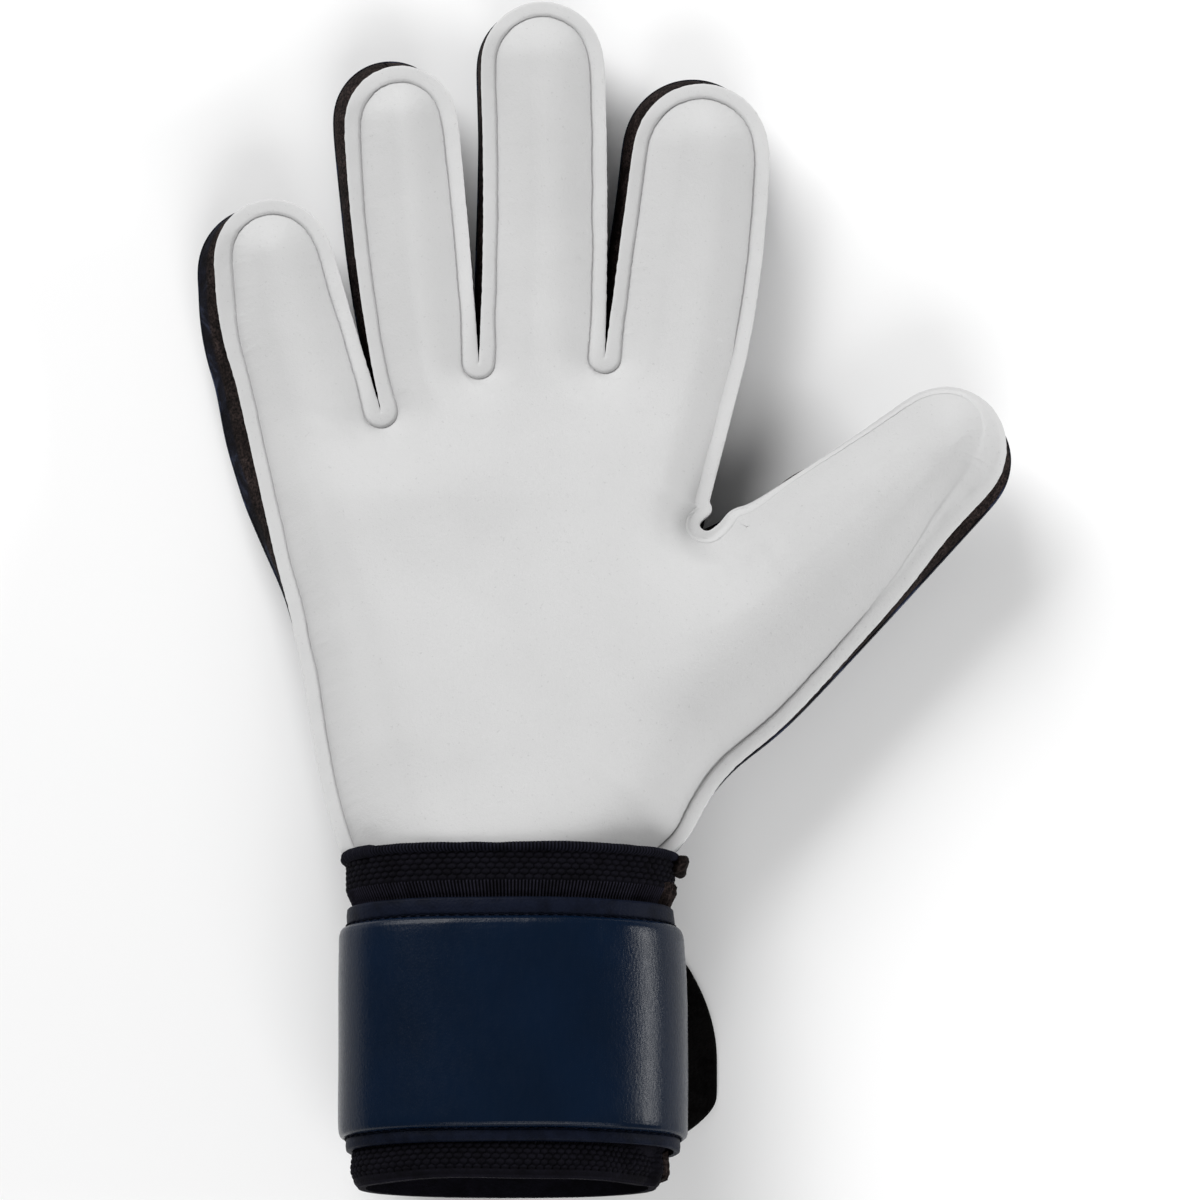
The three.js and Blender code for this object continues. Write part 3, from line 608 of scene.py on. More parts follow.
def layer(name, material, outline, upper, lower):
    """A closed layer: an upper and a lower surface over the same outline, and the cut edge between them. Each
    surface is (rings, spacing, height). Its map tells how far each point is from the cut edge, with the seam at
    a fifth."""
    sides, shares = [], []
    straight = sides_run_on(outline)
    for rings, spacing, height in (upper, lower):
        points, triangles, count = plan_mesh(outline, rings, spacing)
        edge, nearest = edge_of(outline, points, straight)
        edge[TUCK_STEPS:count - TUCK_STEPS] = 0
        sides.append((np.column_stack([points, height(points, edge, nearest)]), triangles))
        shares.append(np.minimum(edge / outline["lip"][nearest], 5) / 5)
    (top, top_faces), (bottom, bottom_faces) = sides
    around = np.arange(count)
    ahead = (around + 1) % count
    walls = np.stack([around, around + len(top), ahead + len(top), ahead], 1)
    faces = [*top_faces.tolist(), *(bottom_faces[:, ::-1] + len(top)).tolist(), *walls.tolist()]
    shares = np.concatenate(shares)
    return make_piece(name, np.concatenate([top, bottom]), faces, material,
                      uv=np.column_stack([shares, shares * 0]))


GUSSET_STEPS = 9  # across its strip
GUSSET_SWELL = 0.9
GUSSET_WRINKLE = 0.35


def gusset(run, palm, back, material):
    """A strip of cloth between the palm's seam and the rim of the back, swollen a little between them."""
    own = []
    for outline in (palm, back):
        index, normals = with_normals(outline)
        chosen = outline["run"][index] == run
        own.append((outline, index[chosen], normals[chosen]))
    count = max(len(index) for _, index, _ in own)
    along = np.linspace(0, 1, count)

    def rail(side, inset, key, above):
        """Points along an edge of the strip and their directions into the glove."""
        outline, index, normals = own[side]
        points = outline["points"][index] + normals * np.reshape(inset, (-1, 1))
        values = np.column_stack([points, section_at(points)[key] + above, normals])
        even = np.column_stack([np.interp(along, np.linspace(0, 1, len(values)), v) for v in values.T])
        return even[:, :3], even[:, 3:]

    lip = palm["lip"][own[0][1]]
    seam_out, out_normals = rail(0, lip - GUSSET_CLOTH - 0.2, "seam", -GAP / 2)
    seam_in, _ = rail(0, lip, "seam", -GAP / 2)
    rim_out, rim_normals = rail(1, GAP, "rim", GAP / 2)
    rim_in, _ = rail(1, GAP + GUSSET_CLOTH, "rim", GAP / 2)
    shares = np.linspace(0, 1, GUSSET_STEPS)
    rows = []
    for top, bottom in ((seam_out, rim_out), (seam_in, rim_in)):
        for t in shares:
            row = mix(top, bottom, t)
            swell = (GUSSET_SWELL + GUSSET_WRINKLE * noise_at(row, 7, 5.0 + run)) * math.sin(math.pi * t)
            push = unit(mix(out_normals, rim_normals, t)) * -swell[:, None]
            rows.append(row + np.column_stack([push, np.zeros(count)]))
    rows = rows[:GUSSET_STEPS] + rows[GUSSET_STEPS:][::-1]
    across = np.concatenate([shares, shares[::-1]]) * (1.0 if run == 0 else 0.55)
    uv = np.stack(np.meshgrid(along * 100 * MM, across, indexing="ij"), -1).reshape(-1, 2)
    return make_piece(RUNS[run], np.stack(rows, 1).reshape(-1, 3), tube_faces(count, len(rows)), material, uv=uv)


# Wrist
WRIST_ROUND = 208.0  # the way round it, by which places are told


def wrist_loop(half, count):
    """Even points round the wrist, starting under it, with their outward directions and their places."""
    angle = np.linspace(-math.pi / 2, 1.5 * math.pi, 1441)
    bend = lambda value: np.sign(value) * np.abs(value) ** (2 / CUFF_POWER)
    loop = np.stack([half[0] * bend(np.cos(angle)), half[1] * bend(np.sin(angle))], 1)
    points = resample(loop, count + 1)[:-1]
    ahead = np.roll(points, -1, 0) - np.roll(points, 1, 0)
    return points, unit(turn_right(ahead)), np.arange(count) / count * WRIST_ROUND


# How far the thumb side is drawn in, at places along the wrist
DRAWN_IN = ((-34.0, 0.0), (-24.0, 0.3), (-17.0, 0.9), (-12.0, 1.5), (-6.0, 1.4), (-2.0, 1.2), (3.0, 0.9))


def draw_in(points):
    """Points of a wrist piece, drawn in on the thumb side."""
    out = np.array(points, float)
    out[:, 0] -= column(DRAWN_IN, out[:, 1]) * ease(out[:, 0] / 40)
    return out


def wrist_piece(name, material, rows, count, relief, slot=None, warp=None):
    """A wall round the wrist. Each row is (y, half extents, is outer), and relief gives how far outer rows are
    pushed out at places round and along the wrist. A warp moves all points at the end."""
    points, uv = [], []
    for y, half, outer in rows:
        loop, out, around = wrist_loop(half, count)
        along = np.full(count, float(y))
        if outer:
            push, shift = relief(around, along, loop)
            loop = loop + out * push[:, None]
            along = along + shift
        points.append(np.column_stack([loop[:, 0], along, WRIST_Z + loop[:, 1]]))
        uv.append(np.column_stack([around, along]))
    ids = np.arange(len(rows) * count).reshape(len(rows), count)
    following = np.roll(ids, -1, 1)
    faces = np.stack([ids, following, np.roll(following, -1, 0), np.roll(ids, -1, 0)], -1).reshape(-1, 4)
    points = draw_in(np.concatenate(points))
    return make_piece(name, warp(points) if warp else points, faces.tolist(), material, slot=slot,
                      uv=np.concatenate(uv) * MM, sharp=60)


BAND_LOOP = 900  # places round the wrist that the pieces below are taken from


def wrist_band(name, material, rows, start, end, count, relief, slot, depth):
    """Part of a wall round the wrist, from one share of the way round to another, with closed rounded ends."""
    loops = [wrist_loop(half, BAND_LOOP) for _, half in rows]
    centre = sum(y for y, _ in rows) / len(rows)
    sections = []
    for i in range(count):
        at = i / (count - 1)
        shrink = min(1.0, math.sqrt(max(0.02, 1 - max(0, 1 - min(at, 1 - at) * 12) ** 2)))
        place = mix(start, end, at) % 1.0 * BAND_LOOP
        k = int(place)
        outside, inside = [], []
        for (y, _), (loop, out, around) in zip(rows, loops):
            push = relief(around[k], y) * shrink - depth * (1 - shrink)
            x, z = mix(loop[k], loop[(k + 1) % BAND_LOOP], place - k) + out[k] * push
            y = centre + (y - centre) * (0.7 + 0.3 * shrink)
            outside.append((x, y, WRIST_Z + z))
            inside.append((x - out[k][0] * depth * shrink, y, WRIST_Z + z - out[k][1] * depth * shrink))
        sections += outside + inside[::-1]
    return make_piece(name, draw_in(sections), tube_faces(count, 2 * len(rows)), material, slot=slot)


CUFF_ROWS = ((0.0, 0.0), (0.65, 0.15), (0.95, 1.0), (1.5, 1.0), (2.0, 1.0), (2.5, 0.8), (2.75, 1.1), (3.0, 1.6))
STRETCHES = ((0.0, 0.0), (STRAP_START, 1.0), (STRAP_END, 2.0), (CUFF_LENGTH, 3.0))
KNIT_CELL = (2.3, 1.3)  # round and along the wrist
KNIT_RISE = 0.5
CUFF_COLUMNS = 1000  # points round the knit
RIB_PITCH = 0.85
RIB_RISE = 0.24
HEM = 2.2  # from the mouth
RIBS_FROM = 6.2  # from the seam, where coarse knit turns into fine ribs
KNIT_TOP = 1.2  # how far the knit reaches up behind the tape
HEM_PULL = 2.8  # how far the cuff's thumb side is drawn in under the strap
HEM_LEDGE = 2.2  # how far its upper layer ends before the lower one there


def cuff_half(y):
    """Half extents of the cuff at a place from the wrist seam towards the mouth."""
    return CUFF_HALF - CUFF_WAIST * column(CUFF_ROWS, column(STRETCHES, y))


def knit_relief(around, along, loop):
    """Staggered bumps, with fine ribs in a band over the strap."""
    down = -along
    row = np.floor(down / KNIT_CELL[1])
    jitter = 0.13 * noise_at((around, down), 2.6, 1.0)
    x = (around / KNIT_CELL[0] + 0.5 * (row % 2) + jitter) % 1.0 - 0.5
    y = (down / KNIT_CELL[1]) % 1.0 - 0.5
    bump = np.sqrt(np.maximum(0, 1 - (2.15 * x) ** 2 - (2.0 * y) ** 2))
    beads = 0.75 + 0.25 * np.sin(2 * math.pi * down / 1.1)
    ribs = RIB_RISE * np.sin(2 * math.pi * around / RIB_PITCH) * beads
    fine = ease((down - RIBS_FROM) / 0.8) * (1 - ease((down - STRAP_END) / 0.5))
    waves = 0.35 * noise_at((around, down), 14, 2.0)
    edge = ease((down + KNIT_TOP) / 1.2) * ease((CUFF_LENGTH - down) / 1.2)
    hem = ease((down - CUFF_LENGTH + HEM) / 0.4)
    seam = -0.35 * np.exp(-(((down - CUFF_LENGTH + HEM) / 0.3) ** 2))
    return mix(mix(KNIT_RISE * bump, ribs, fine), 0.3, hem) * edge + seam + waves * edge, 0 * around


def cuff_warp(points):
    """Points of the cuff with its loose end, past the strap, pulled in and uneven."""
    out = points.copy()
    under_strap = ease((-points[:, 1] - STRAP_END + 3) / 4)
    ledge = ease((points[:, 2] - WRIST_Z - 4) / 2.5) * ease((points[:, 0] - 24) / 9)
    out[:, 0] -= (HEM_PULL * ease(points[:, 0] / 30) + HEM_LEDGE * ledge) * under_strap
    sway = 0.5 * noise_at(points[:, [0, 2]], 20, 17.0)
    out[:, 1] -= sway * under_strap * ease((points[:, 2] - WRIST_Z) / 8)
    return out


def cuff():
    hem = CUFF_LENGTH - HEM
    places = [*np.arange(-KNIT_TOP, RIBS_FROM + 1, 0.23), *np.arange(RIBS_FROM + 1.1, STRAP_START + 1.5, 0.45),
              *np.linspace(STRAP_START + 4, STRAP_END - 4, 4), *np.arange(STRAP_END - 0.6, hem + 0.6, 0.23),
              *np.arange(hem + 0.8, CUFF_LENGTH, 0.35), CUFF_LENGTH]
    rows = [(-y, cuff_half(y), True) for y in places]
    inner = [(-y, cuff_half(y) - CUFF_KNIT, False) for y in np.linspace(CUFF_LENGTH, -KNIT_TOP, 8)]
    return wrist_piece("cuff_bandage", knit, rows + inner, CUFF_COLUMNS, knit_relief, warp=cuff_warp)


BINDING_RIB = 0.85
BINDING_FOOT = 0.35  # the tape's lower edge, over the knit
BINDING_COLUMNS = 1800
BINDING_LAP = (0.755, 0.665)  # shares of the way round the wrist, from under it and first towards the thumb
BINDING_END = (39.7, -0.3, 2.0)  # place of the tape's end, from the middle of the wrist
BINDING_END_SIZE = (1.7, 2.2, 4.5)


def binding_relief(around, along, loop):
    line = (around, around * 0)
    ribs = 0.17 * np.sin(2 * math.pi * around / BINDING_RIB) + 0.08 * noise_at(line, 2.5, 14.0)
    sway = (0.5 * noise_at(line, 20, 4.0) + 0.15 * noise_at(line, 5, 15.0)) * clamp((along + 0.4) / 3)
    return ribs + 0.2 * noise_at(line, 13, 16.0), sway


def tape_rows(steps, low, high, outside, swell):
    """Rows across the tape between two places, swollen outwards between its edges."""
    return [(mix(low, high, at), CUFF_HALF + outside + swell * math.sin(math.pi * at) ** 0.6)
            for at in np.linspace(0, 1, steps)]


def binding():
    outer = tape_rows(11, BINDING_FOOT, BINDING_TOP, 0.3, BINDING_RISE + 0.45)
    rows = [(y, half, True) for y, half in outer]
    rows += [(y, CUFF_HALF - CUFF_KNIT, True) for y in (BINDING_TOP, GAP)]
    return wrist_piece("cuff_binding", tape, rows, BINDING_COLUMNS, binding_relief)


def binding_lap():
    """The folded start of the tape, over its pinky side."""
    def relief(around, y):
        uneven = 0.2 * noise.noise(Vector((around / 3, y, 1.0)))
        return 0.15 * math.sin(2 * math.pi * around / BINDING_RIB) + uneven

    rows = tape_rows(9, GAP - 0.3, BINDING_TOP + 0.5, 0.55, BINDING_RISE + 0.55)
    return wrist_band("cuff_binding_lap", tape, rows, *BINDING_LAP, 90, relief, "cuff_binding", 1.2)


def binding_end():
    """The crumpled end of tape and cloth that stands out on the thumb's side."""
    shape = bmesh.new()
    bmesh.ops.create_cube(shape, size=2)
    bmesh.ops.subdivide_edges(shape, edges=shape.edges[:], cuts=11, use_grid_fill=True)
    points = np.array([tuple(v.co) for v in shape.verts])
    faces = [tuple(v.index for v in f.verts) for f in shape.faces]
    shape.free()
    points /= (np.abs(points) ** 5).sum(1, keepdims=True) ** (1 / 5)
    points *= BINDING_END_SIZE
    crumple = np.array([noise.noise_vector(Vector(p) / 1.7 + Vector((3, 1, 2))) for p in points])
    fine = np.array([noise.noise_vector(Vector(p) / 0.6) for p in points])
    points = points + crumple * [0.6, 0.6, 1.0] + fine * 0.15
    points[:, 0] += 0.2 * points[:, 1]
    return make_piece("cuff_binding_end", points + BINDING_END + [0, 0, WRIST_Z], faces, mesh_cloth,
                      slot="cuff_binding")


# Gusset cloth on the wrist's thumb side: shares of the way round that it takes, and its pleats
SIDE_CLOTH = (0.2, 0.3)
MOUTH_CLOTH = (0.13, 0.25)
SIDE_PLEAT = 1.5


def side_cloth():
    """Pleats of gusset cloth that show on the thumb's side between the binding and the strap."""
    upper = [(y, cuff_half(-y) + 0.55) for y in np.linspace(-5.0, -STRAP_START - 0.3, 18)]
    lower = [(y, cuff_half(-y) - [1.3, 0]) for y in np.linspace(-STRAP_END + 0.5, -CUFF_LENGTH + 2.2, 18)]

    def relief(around, y):
        sway = 0.8 * noise.noise(Vector((around / 6, y / 5, 4.0)))
        uneven = 0.2 * noise.noise(Vector((around, y, 0)))
        return 0.5 * math.sin(2 * math.pi * (around + sway) / SIDE_PLEAT) + uneven

    wrist_band("cuff_side_cloth", mesh_cloth, upper, *SIDE_CLOTH, 110, relief, "cuff_bandage", 0.9)
    wrist_band("cuff_mouth_cloth", mesh_cloth, lower, *MOUTH_CLOTH, 110, relief, "cuff_bandage", 0.9)


# Strap: place from its edge in widths of the flat edge, and rise from the flat edge's thickness to the
# padding's
STRAP_ROWS = ((0.0, -0.2), (0.08, 0.0), (0.4, 0.08), (0.85, 0.04), (0.96, -0.1), (1.02, 0.0), (1.07, 0.34),
              (1.14, 0.62), (1.25, 0.82), (1.45, 0.94), (1.8, 1.0), (3.5, 1.03))
PADDING_FROM = 1.03  # in widths of the flat edge
STRAP_COLUMNS = 420
EDGE_COLUMNS = 700


def strap_relief(around, along, loop):
    """Puckers beside the stitches, and a slight unevenness of the padding."""
    down = -along - STRAP_START
    from_edge = np.minimum(down / STRAP_EDGE_WIDTH, (STRAP_LENGTH - down) / LOWER_EDGE_WIDTH)
    places = (around, down * 0.4)
    puckers = 0.16 * noise_at(places, 5, 7.0) * np.exp(-(((from_edge - 1.5) / 0.55) ** 2))
    flat = 0.22 * noise_at(places, 11, 8.0) * (from_edge < 1)
    uneven = 0.2 * noise_at((around, down), 25, 9.0) * ease((from_edge - 1.2) / 1.5)
    return puckers + flat + uneven, 0.35 * noise_at((around, along * 0), 30, 6.0)


def strap_rows(first, last):
    """Outer rows of the strap between two places from its upper and from its lower edge."""
    shares = [row[0] for row in STRAP_ROWS]
    middle = STRAP_LENGTH / STRAP_EDGE_WIDTH / 2
    places = sorted({round(s, 3) for a, b in zip(shares, shares[1:]) for s in np.linspace(a, b, 5)})
    places = [s for s in places if s < 3.4] + list(np.linspace(3.5, middle, 12))
    half = [(s, STRAP_INSIDE + mix(STRAP_EDGE, STRAP_PADDING, column(STRAP_ROWS, s))) for s in places]
    half = [row for row in half if first <= row[0] <= last]
    upper = [(-STRAP_START - s * STRAP_EDGE_WIDTH, extent, True) for s, extent in half]
    towards = [float(ease((s - 1) / (middle - 1))) for s, _ in half]
    lower = [(-STRAP_END + mix(s * LOWER_EDGE_WIDTH, s * STRAP_EDGE_WIDTH, t), extent, True)
             for t, (s, extent) in zip(towards, half)]
    return upper, lower


def strap():
    upper, lower = strap_rows(PADDING_FROM, 99)
    rows = upper + lower[-2::-1]
    rows += [(y, STRAP_INSIDE, False) for y in np.linspace(lower[0][0], upper[0][0], 8)]
    return wrist_piece("wrist_strap", coating, rows, STRAP_COLUMNS, strap_relief)


def strap_edges():
    upper, lower = strap_rows(0, PADDING_FROM + 0.04)
    for name, rows in (("strap_upper_edge", upper), ("strap_lower_edge", lower[::-1])):
        inner = [(y, STRAP_INSIDE + 0.05, False) for y in (rows[-1][0], rows[0][0])]
        wrist_piece(name, edging, rows + inner, EDGE_COLUMNS, strap_relief, slot="wrist_strap")


STITCH = 1.7  # length
STITCH_PITCH = 2.35
STITCH_RADIUS = 0.22
STITCH_SIDES = 6


def stitches():
    """Two rows of stitches, where the flat edges of the strap meet its padding."""
    points, faces = [], []
    for y in (-STRAP_START - 0.95 * STRAP_EDGE_WIDTH, -STRAP_END + 0.95 * LOWER_EDGE_WIDTH):
        loop, out, around = wrist_loop(STRAP_INSIDE + STRAP_EDGE + 0.12, 1200)
        push, shift = strap_relief(around, np.full(len(around), y), loop)
        loop = loop + out * push[:, None]
        path = np.column_stack([loop[:, 0], y + shift, WRIST_Z + loop[:, 1]])
        outwards = np.column_stack([out[:, 0], out[:, 0] * 0, out[:, 1]])
        for k in range(int(around[-1] / STITCH_PITCH)):
            faces += [tuple(len(points) + v for v in face) for face in tube_faces(STITCH_SIDES, STITCH_SIDES)]
            for u in np.linspace(0, 1, STITCH_SIDES):
                at = (k * STITCH_PITCH + u * STITCH) / around[-1] * (len(path) - 1)
                i = int(at)
                rise_here = math.sin(math.pi * u)
                centre = mix(path[i], path[min(i + 1, len(path) - 1)], at - i)
                centre = centre + outwards[i] * (0.12 * rise_here)
                radius = STITCH_RADIUS * (0.35 + 0.65 * rise_here ** 0.5)
                for angle in np.linspace(0, 2 * math.pi, STITCH_SIDES, endpoint=False):
                    points.append(centre + radius * (math.cos(angle) * outwards[i] + [0, math.sin(angle), 0]))
    return make_piece("strap_stitches", draw_in(points), faces, thread, slot="wrist_strap")


# Tab, with its corners as shares of the strap's length
TAB = dict(top=0.1, shoulder=0.16, nose_top=0.56, nose_bottom=0.71, heel=0.86, bottom=0.92)
TAB_HIDDEN = 0.75  # how far it goes on under the wrist, as a share of the cuff's width


def quadratic(a, b, c, count=24):
    t = np.linspace(0, 1, count, endpoint=False)[:, None]
    return (1 - t) ** 2 * a + 2 * t * (1 - t) * b + t**2 * c


def tab():
    side = STRAP_INSIDE[0] + STRAP_PADDING
    along = lambda share: -STRAP_START - share * STRAP_LENGTH
    nose, hidden = side + TAB_REACH, side - TAB_HIDDEN * CUFF_WIDTH
    corners = lambda *places: np.array([point(x, along(share)) for x, share in places])
    heel_curve = quadratic(*corners((side, TAB["heel"]), (nose, mix(TAB["nose_bottom"], TAB["heel"], 0.4)),
                                    (nose, TAB["nose_bottom"])))
    top_curve = quadratic(*corners((nose, TAB["nose_top"]), (nose, mix(TAB["shoulder"], TAB["nose_top"], 0.5)),
                                   (side, TAB["shoulder"])))
    bottom = corners((hidden, TAB["bottom"]), (side - TAB_REACH, TAB["bottom"]))
    top = corners((side, TAB["shoulder"]), (side - TAB_REACH / 2, TAB["top"]), (hidden, TAB["top"]))
    line = np.concatenate([bottom, heel_curve, top_curve, top])
    line = resample(np.concatenate([line, line[:1]]), 261)[:-1]
    for _ in range(3):
        line = (np.roll(line, 1, 0) + np.roll(line, -1, 0) + 2 * line) / 4
    count = len(line)
    ahead = unit(np.roll(line, -1, 0) - np.roll(line, 1, 0))
    inwards = turn_right(ahead) * -1
    rings = ((0.0, 0.55), (0.0, TAB_THICKNESS - 0.7), (0.35, TAB_THICKNESS - 0.15), (0.9, TAB_THICKNESS))
    points = [np.column_stack([line + inwards * 0.3, np.zeros(count)])]
    points += [np.column_stack([line + inwards * inset, np.full(count, height)]) for inset, height in rings]
    return make_piece("strap_tab", np.concatenate(points), tube_faces(len(points), count), brushed)


# Materials
def srgb(*values):
    shares = [v / 255 for v in values]
    return tuple(s / 12.92 if s <= 0.04045 else ((s + 0.055) / 1.055) ** 2.4 for s in shares) + (1.0,)


def gray(value):
    return (value, value, value, 1.0)


def new_material(name, roughness, specular, sheen=0.0):
    material = bpy.data.materials.new(name)
    material.use_nodes = True
    inputs = material.node_tree.nodes["Principled BSDF"].inputs
    inputs["Roughness"].default_value = roughness
    inputs["Specular IOR Level"].default_value = specular
    inputs["Sheen Weight"].default_value = sheen
    return material, material.node_tree


def connect(tree, color, normal=None, roughness=None):
    inputs = tree.nodes["Principled BSDF"].inputs
    for name, output in (("Base Color", color), ("Normal", normal), ("Roughness", roughness)):
        if output is not None:
            tree.links.new(output, inputs[name])


def make_node(tree, kind, output, inputs, **settings):
    """An output of a new node. Each of the node's inputs is a value or the output of another node."""
    node = tree.nodes.new("ShaderNode" + kind)
    for name, value in settings.items():
        setattr(node, name, value)
    for name, value in inputs.items():
        if isinstance(value, bpy.types.NodeSocket):
            tree.links.new(value, node.inputs[name])
        else:
            node.inputs[name].default_value = value
    return node.outputs[output]


def coordinates(tree, stretch=(1, 1, 1)):
    place = make_node(tree, "TexCoord", "Object", {})
    return make_node(tree, "Mapping", "Vector", {"Scale": stretch, "Vector": place})


def uv_part(tree, axis):
    return make_node(tree, "SeparateXYZ", axis, {"Vector": make_node(tree, "TexCoord", "UV", {})})


def clouds(tree, place, scale, **inputs):
    return make_node(tree, "TexNoise", "Fac", {"Vector": place, "Scale": scale, **inputs})


def cells(tree, place, scale):
    return make_node(tree, "TexVoronoi", "Distance", {"Vector": place, "Scale": scale})


def ramp(tree, factor, *stops):
    color = make_node(tree, "ValToRGB", "Color", {"Fac": factor})
    elements = color.node.color_ramp.elements
    while len(elements) < len(stops):
        elements.new(0.5)
    for element, (position, tone) in zip(elements, stops):
        element.position = position
        element.color = tone
    return color


def bump(tree, height, distance, strength, under=None):
    """The normal of a relief some millimetres high, on top of another one."""
    inputs = {"Strength": strength, "Distance": distance * MM, "Height": height}
    if under is not None:
        inputs["Normal"] = under
    return make_node(tree, "Bump", "Normal", inputs)


def calculate(tree, operation, *values):
    return make_node(tree, "Math", "Value", dict(enumerate(values)), operation=operation)


def blend(tree, factor, first, second, kind="MIX"):
    return make_node(tree, "Mix", "Result", {"Factor": factor, "A": first, "B": second}, data_type="RGBA",
                     blend_type=kind)


def multiply(tree, color, shade):
    return blend(tree, 1.0, color, shade, "MULTIPLY")


def latex_material():
    """Off-white foam with fine pores, and a little lighter on its cut edge."""
    material, tree = new_material("latex_foam", 0.72, 0.25)
    place = coordinates(tree)
    cloud = clouds(tree, place, 28, Detail=3.0)
    color = ramp(tree, cloud, (0.3, srgb(197, 197, 197)), (0.7, srgb(202, 202, 202)))
    specks = ramp(tree, clouds(tree, place, 1100, Detail=2.0, Roughness=0.7), (0.24, srgb(238, 238, 238)),
                  (0.36, srgb(255, 255, 255)))
    lip = ramp(tree, uv_part(tree, "X"), (0.18, gray(1.045)), (0.2, gray(1.0)))
    pores = bump(tree, clouds(tree, place, 1300, Detail=4.0, Roughness=0.75), 0.14, 0.7)
    connect(tree, multiply(tree, multiply(tree, color, specks), lip),
            bump(tree, clouds(tree, place, 120, Detail=2.0), 0.5, 0.25, pores))
    return material


def paint_crease_shade(tree, color, least):
    """Painted shade in the hollows of a finely drawn surface: the colour darker there, down to the share given.
    """
    hollow = make_node(tree, "NewGeometry", "Pointiness", {})
    return multiply(tree, color, ramp(tree, hollow, (0.42, gray(least)), (0.5, gray(0.62)), (0.56, gray(1.0))))


def paint_rib_light_and_shade(tree, color, pitch, least, most, low, high):
    """Painted shade and painted light on ribs: the colour darker in the grooves between ribs and lighter on the
    ribs, by the shares given. The ribs are a pitch apart round the wrist, and lie between two places along it."""
    along = uv_part(tree, "Y")
    wave = calculate(tree, "SINE", calculate(tree, "MULTIPLY", uv_part(tree, "X"), 2 * math.pi / (pitch * MM)))
    groove = calculate(tree, "MULTIPLY_ADD", wave, -0.5, 0.5)
    ribs = calculate(tree, "MULTIPLY_ADD", groove, least - most, most - 1.0)
    inside = calculate(tree, "MULTIPLY", calculate(tree, "GREATER_THAN", along, low * MM),
                       calculate(tree, "LESS_THAN", along, high * MM))
    return multiply(tree, color, calculate(tree, "MULTIPLY_ADD", ribs, inside, 1.0))


def cloth_material(name, dark, light, scale, roughness, sheen, depth, specular, painted_sheen=None, crease_shade=None,
                   ribs=None):
    material, tree = new_material(name, roughness, specular, sheen)
    place = coordinates(tree)
    # A third, lighter tone in patches, where given, is painted sheen
    stops = [(0.35, dark), (0.56, light)] + ([(0.66, painted_sheen)] if painted_sheen else [])
    color = ramp(tree, clouds(tree, place, scale / 8, Detail=4.0, Roughness=0.65), *stops)
    # Painted shade in the creases, where given
    if crease_shade:
        color = paint_crease_shade(tree, color, crease_shade)
    # Painted shade in the grooves between ribs and painted light on the ribs, where given
    if ribs:
        color = paint_rib_light_and_shade(tree, color, *ribs)
    weave = bump(tree, cells(tree, place, scale), depth, 0.8)
    fuzz = clouds(tree, place, scale * 1.7, Detail=3.0, Roughness=0.7)
    connect(tree, color, bump(tree, fuzz, depth, 0.6, weave))
    return material


def gusset_material():
    """Brown and fuzzy beside the palm's cut edge, and dark navy further down, with lighter patches painted in as
    sheen.
    """
    material, tree = new_material("gusset_cloth", 0.75, 0.06)
    place = coordinates(tree)
    fuzz = clouds(tree, place, 1500, Detail=4.0, Roughness=0.75)
    patches = clouds(tree, place, 110, Detail=5.0, Roughness=0.7, Distortion=1.2)
    brown = multiply(tree, ramp(tree, fuzz, (0.4, srgb(8, 6, 6)), (0.6, srgb(60, 50, 48))),
                     ramp(tree, patches, (0.38, gray(0.3)), (0.6, gray(1.0))))
    # Navy, with its lightest tone in patches painted in as sheen
    navy = ramp(tree, patches, (0.38, srgb(8, 7, 11)), (0.52, srgb(17, 18, 27)), (0.64, srgb(38, 42, 56)))
    share = ramp(tree, calculate(tree, "MULTIPLY_ADD", fuzz, 0.35, uv_part(tree, "Y")), (0.74, gray(0.0)),
                 (0.84, gray(1.0)))
    connect(tree, blend(tree, share, brown, navy), bump(tree, patches, 1.2, 0.7, bump(tree, fuzz, 0.3, 0.8)))
    return material


def coating_material():
    """Navy coated cloth with a faint grain and a soft gloss."""
    material, tree = new_material("navy_coating", 0.3, 0.18)
    place, stretched = coordinates(tree), coordinates(tree, (1.0, 0.4, 1.0))
    color = ramp(tree, clouds(tree, place, 60, Detail=4.0), (0.3, srgb(3, 17, 35)), (0.7, srgb(4, 20, 40)))
    roughness = ramp(tree, clouds(tree, stretched, 700, Detail=3.0), (0.3, gray(0.24)), (0.7, gray(0.3)))
    grain = bump(tree, clouds(tree, stretched, 1500, Detail=4.0, Roughness=0.7), 0.1, 0.6)
    connect(tree, color, bump(tree, cells(tree, place, 1300), 0.04, 0.5, grain), roughness)
    return material


def floor_material():
    material, tree = new_material("pale_floor", 0.9, 0.1)
    cloud = clouds(tree, coordinates(tree), 3, Detail=2.0)
    connect(tree, ramp(tree, cloud, (0.3, srgb(250, 250, 250)), (0.7, srgb(253, 253, 253))))
    return material


latex = latex_material()
# Back cloth: dark navy, with lighter patches painted in as sheen
backing = cloth_material("back_cloth", srgb(11, 12, 18), srgb(20, 24, 36), 900, 0.6, 0.0, 0.2, 0.06,
                         painted_sheen=srgb(48, 56, 80))
mesh_cloth = gusset_material()
edging = cloth_material("strap_edging", srgb(10, 14, 25), srgb(16, 21, 35), 1500, 0.5, 0.0, 0.08, 0.05)
# Black knit, with painted shade in its creases and painted shade and light across its fine ribs
knit = cloth_material("black_knit", srgb(14, 13, 18), srgb(20, 19, 26), 1800, 0.85, 0.0, 0.12, 0.04,
                      crease_shade=0.25, ribs=(RIB_PITCH, 0.2, 2.9, -STRAP_START - 2, -RIBS_FROM - 0.4))
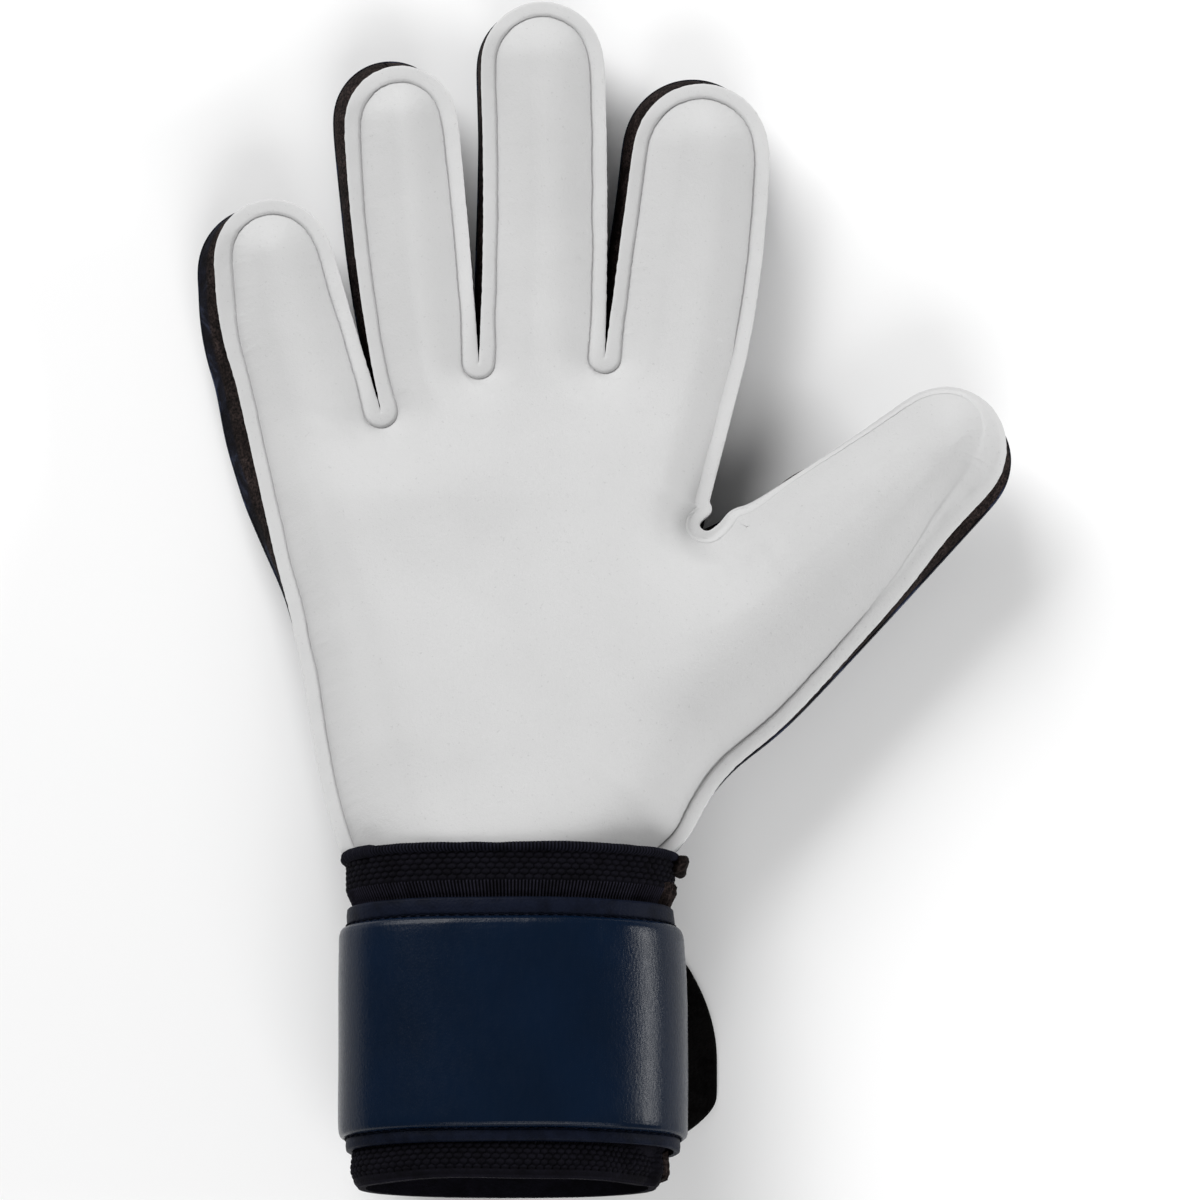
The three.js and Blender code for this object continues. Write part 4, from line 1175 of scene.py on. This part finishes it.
# Black tape, with painted shade in the grooves between its ribs and painted light on the ribs
tape = cloth_material("black_tape", srgb(13, 13, 19), srgb(20, 20, 28), 1800, 0.75, 0.0, 0.08, 0.04,
                      ribs=(BINDING_RIB, 0.2, 1.8, -5.0, 5.0))
brushed = cloth_material("black_loop", srgb(5, 4, 4), srgb(13, 12, 12), 1600, 0.95, 0.0, 0.3, 0.02)
thread = cloth_material("navy_thread", srgb(3, 6, 14), srgb(8, 12, 22), 3000, 0.8, 0.0, 0.1, 0.04)
coating = coating_material()

# Glove
palm_outline = trace(palm_plan)
back_outline = trace(plan_of(True))
back_outline["lip"] = np.full(len(back_outline["points"]), SEAM_INSET)


def palm_height(points, edge, nearest):
    """Height of the palm, with a wide lip's hold on the foam fading away from it."""
    lip, groove = palm_outline["lip"][nearest], palm_outline["groove"][nearest]
    inside = ease((edge - lip) / 6)
    return palm_top(points, edge, mix(lip, np.minimum(lip, SEAM_INSET), inside), groove, inside)


palm = layer("palm_latex", latex, palm_outline, (LIP_RINGS, PALM_GRID, palm_height),
             (UNDER_RINGS, UNDER_GRID, lambda points, edge, _: palm_underside(points, edge)))
layer("backhand", backing, back_outline,
      (BACK_RINGS, BACK_GRID, lambda points, edge, _: back_inside(points, edge)),
      (BACK_RINGS, BACK_GRID, lambda points, edge, _: back_outside(points, edge)))
for run in range(len(RUNS)):
    gusset(run, palm_outline, back_outline, mesh_cloth)
cuff()
binding()
binding_lap()
binding_end()
side_cloth()
strap()
strap_edges()
stitches()
tab()

# Floor, light and camera
FLOOR_SIZE = 4
SKY_LIGHT = 0.17
bpy.ops.mesh.primitive_plane_add(size=FLOOR_SIZE, location=(0, 0, 0))
floor = bpy.context.object
floor.name = "floor"
floor.data.materials.append(floor_material())

world = bpy.data.worlds.new("studio")
bpy.context.scene.world = world
world.use_nodes = True
sky = world.node_tree.nodes["Background"].inputs
sky["Color"].default_value = gray(1.0)
sky["Strength"].default_value = SKY_LIGHT

LIGHTS = (  # in metres and watts
    dict(name="key", place=(-0.83, 1.36, 1.15), size=(1.5, 1.2), power=40.5),
    dict(name="side_strip", place=(1.15, 0.08, 0.46), size=(0.6, 0.11), power=6.6),
    dict(name="fill", place=(0.2, -1.6, 1.3), size=(1.5, 1.2), power=20.0),
)
for row in LIGHTS:
    data = bpy.data.lights.new(row["name"], "AREA")
    data.shape = "RECTANGLE"
    data.size, data.size_y = row["size"]
    data.energy = row["power"]
    light = link_object(row["name"], data)
    light.location = row["place"]
    light.rotation_euler = (Vector((0, 0, 0.02)) - light.location).to_track_quat("-Z", "Y").to_euler()

CAMERA_TILT = 10.0  # degrees from straight down, towards the cuff
CAMERA_DISTANCE = 2.4
CAMERA_TARGET = Vector((-0.0009, -0.0032, 0.025))
FRAME_WIDTH = 0.288  # at the target
SENSOR = 36.0
tilt = math.radians(CAMERA_TILT)
camera_data = bpy.data.cameras.new("camera")
camera_data.sensor_width = SENSOR
camera_data.lens = SENSOR * CAMERA_DISTANCE / FRAME_WIDTH
camera_data.clip_start = 0.1
camera = link_object("camera", camera_data)
camera.location = CAMERA_TARGET + CAMERA_DISTANCE * Vector((0, -math.sin(tilt), math.cos(tilt)))
camera.rotation_euler = (tilt, 0, 0)
bpy.context.scene.camera = camera
bpy.context.scene.view_settings.view_transform = "Standard"
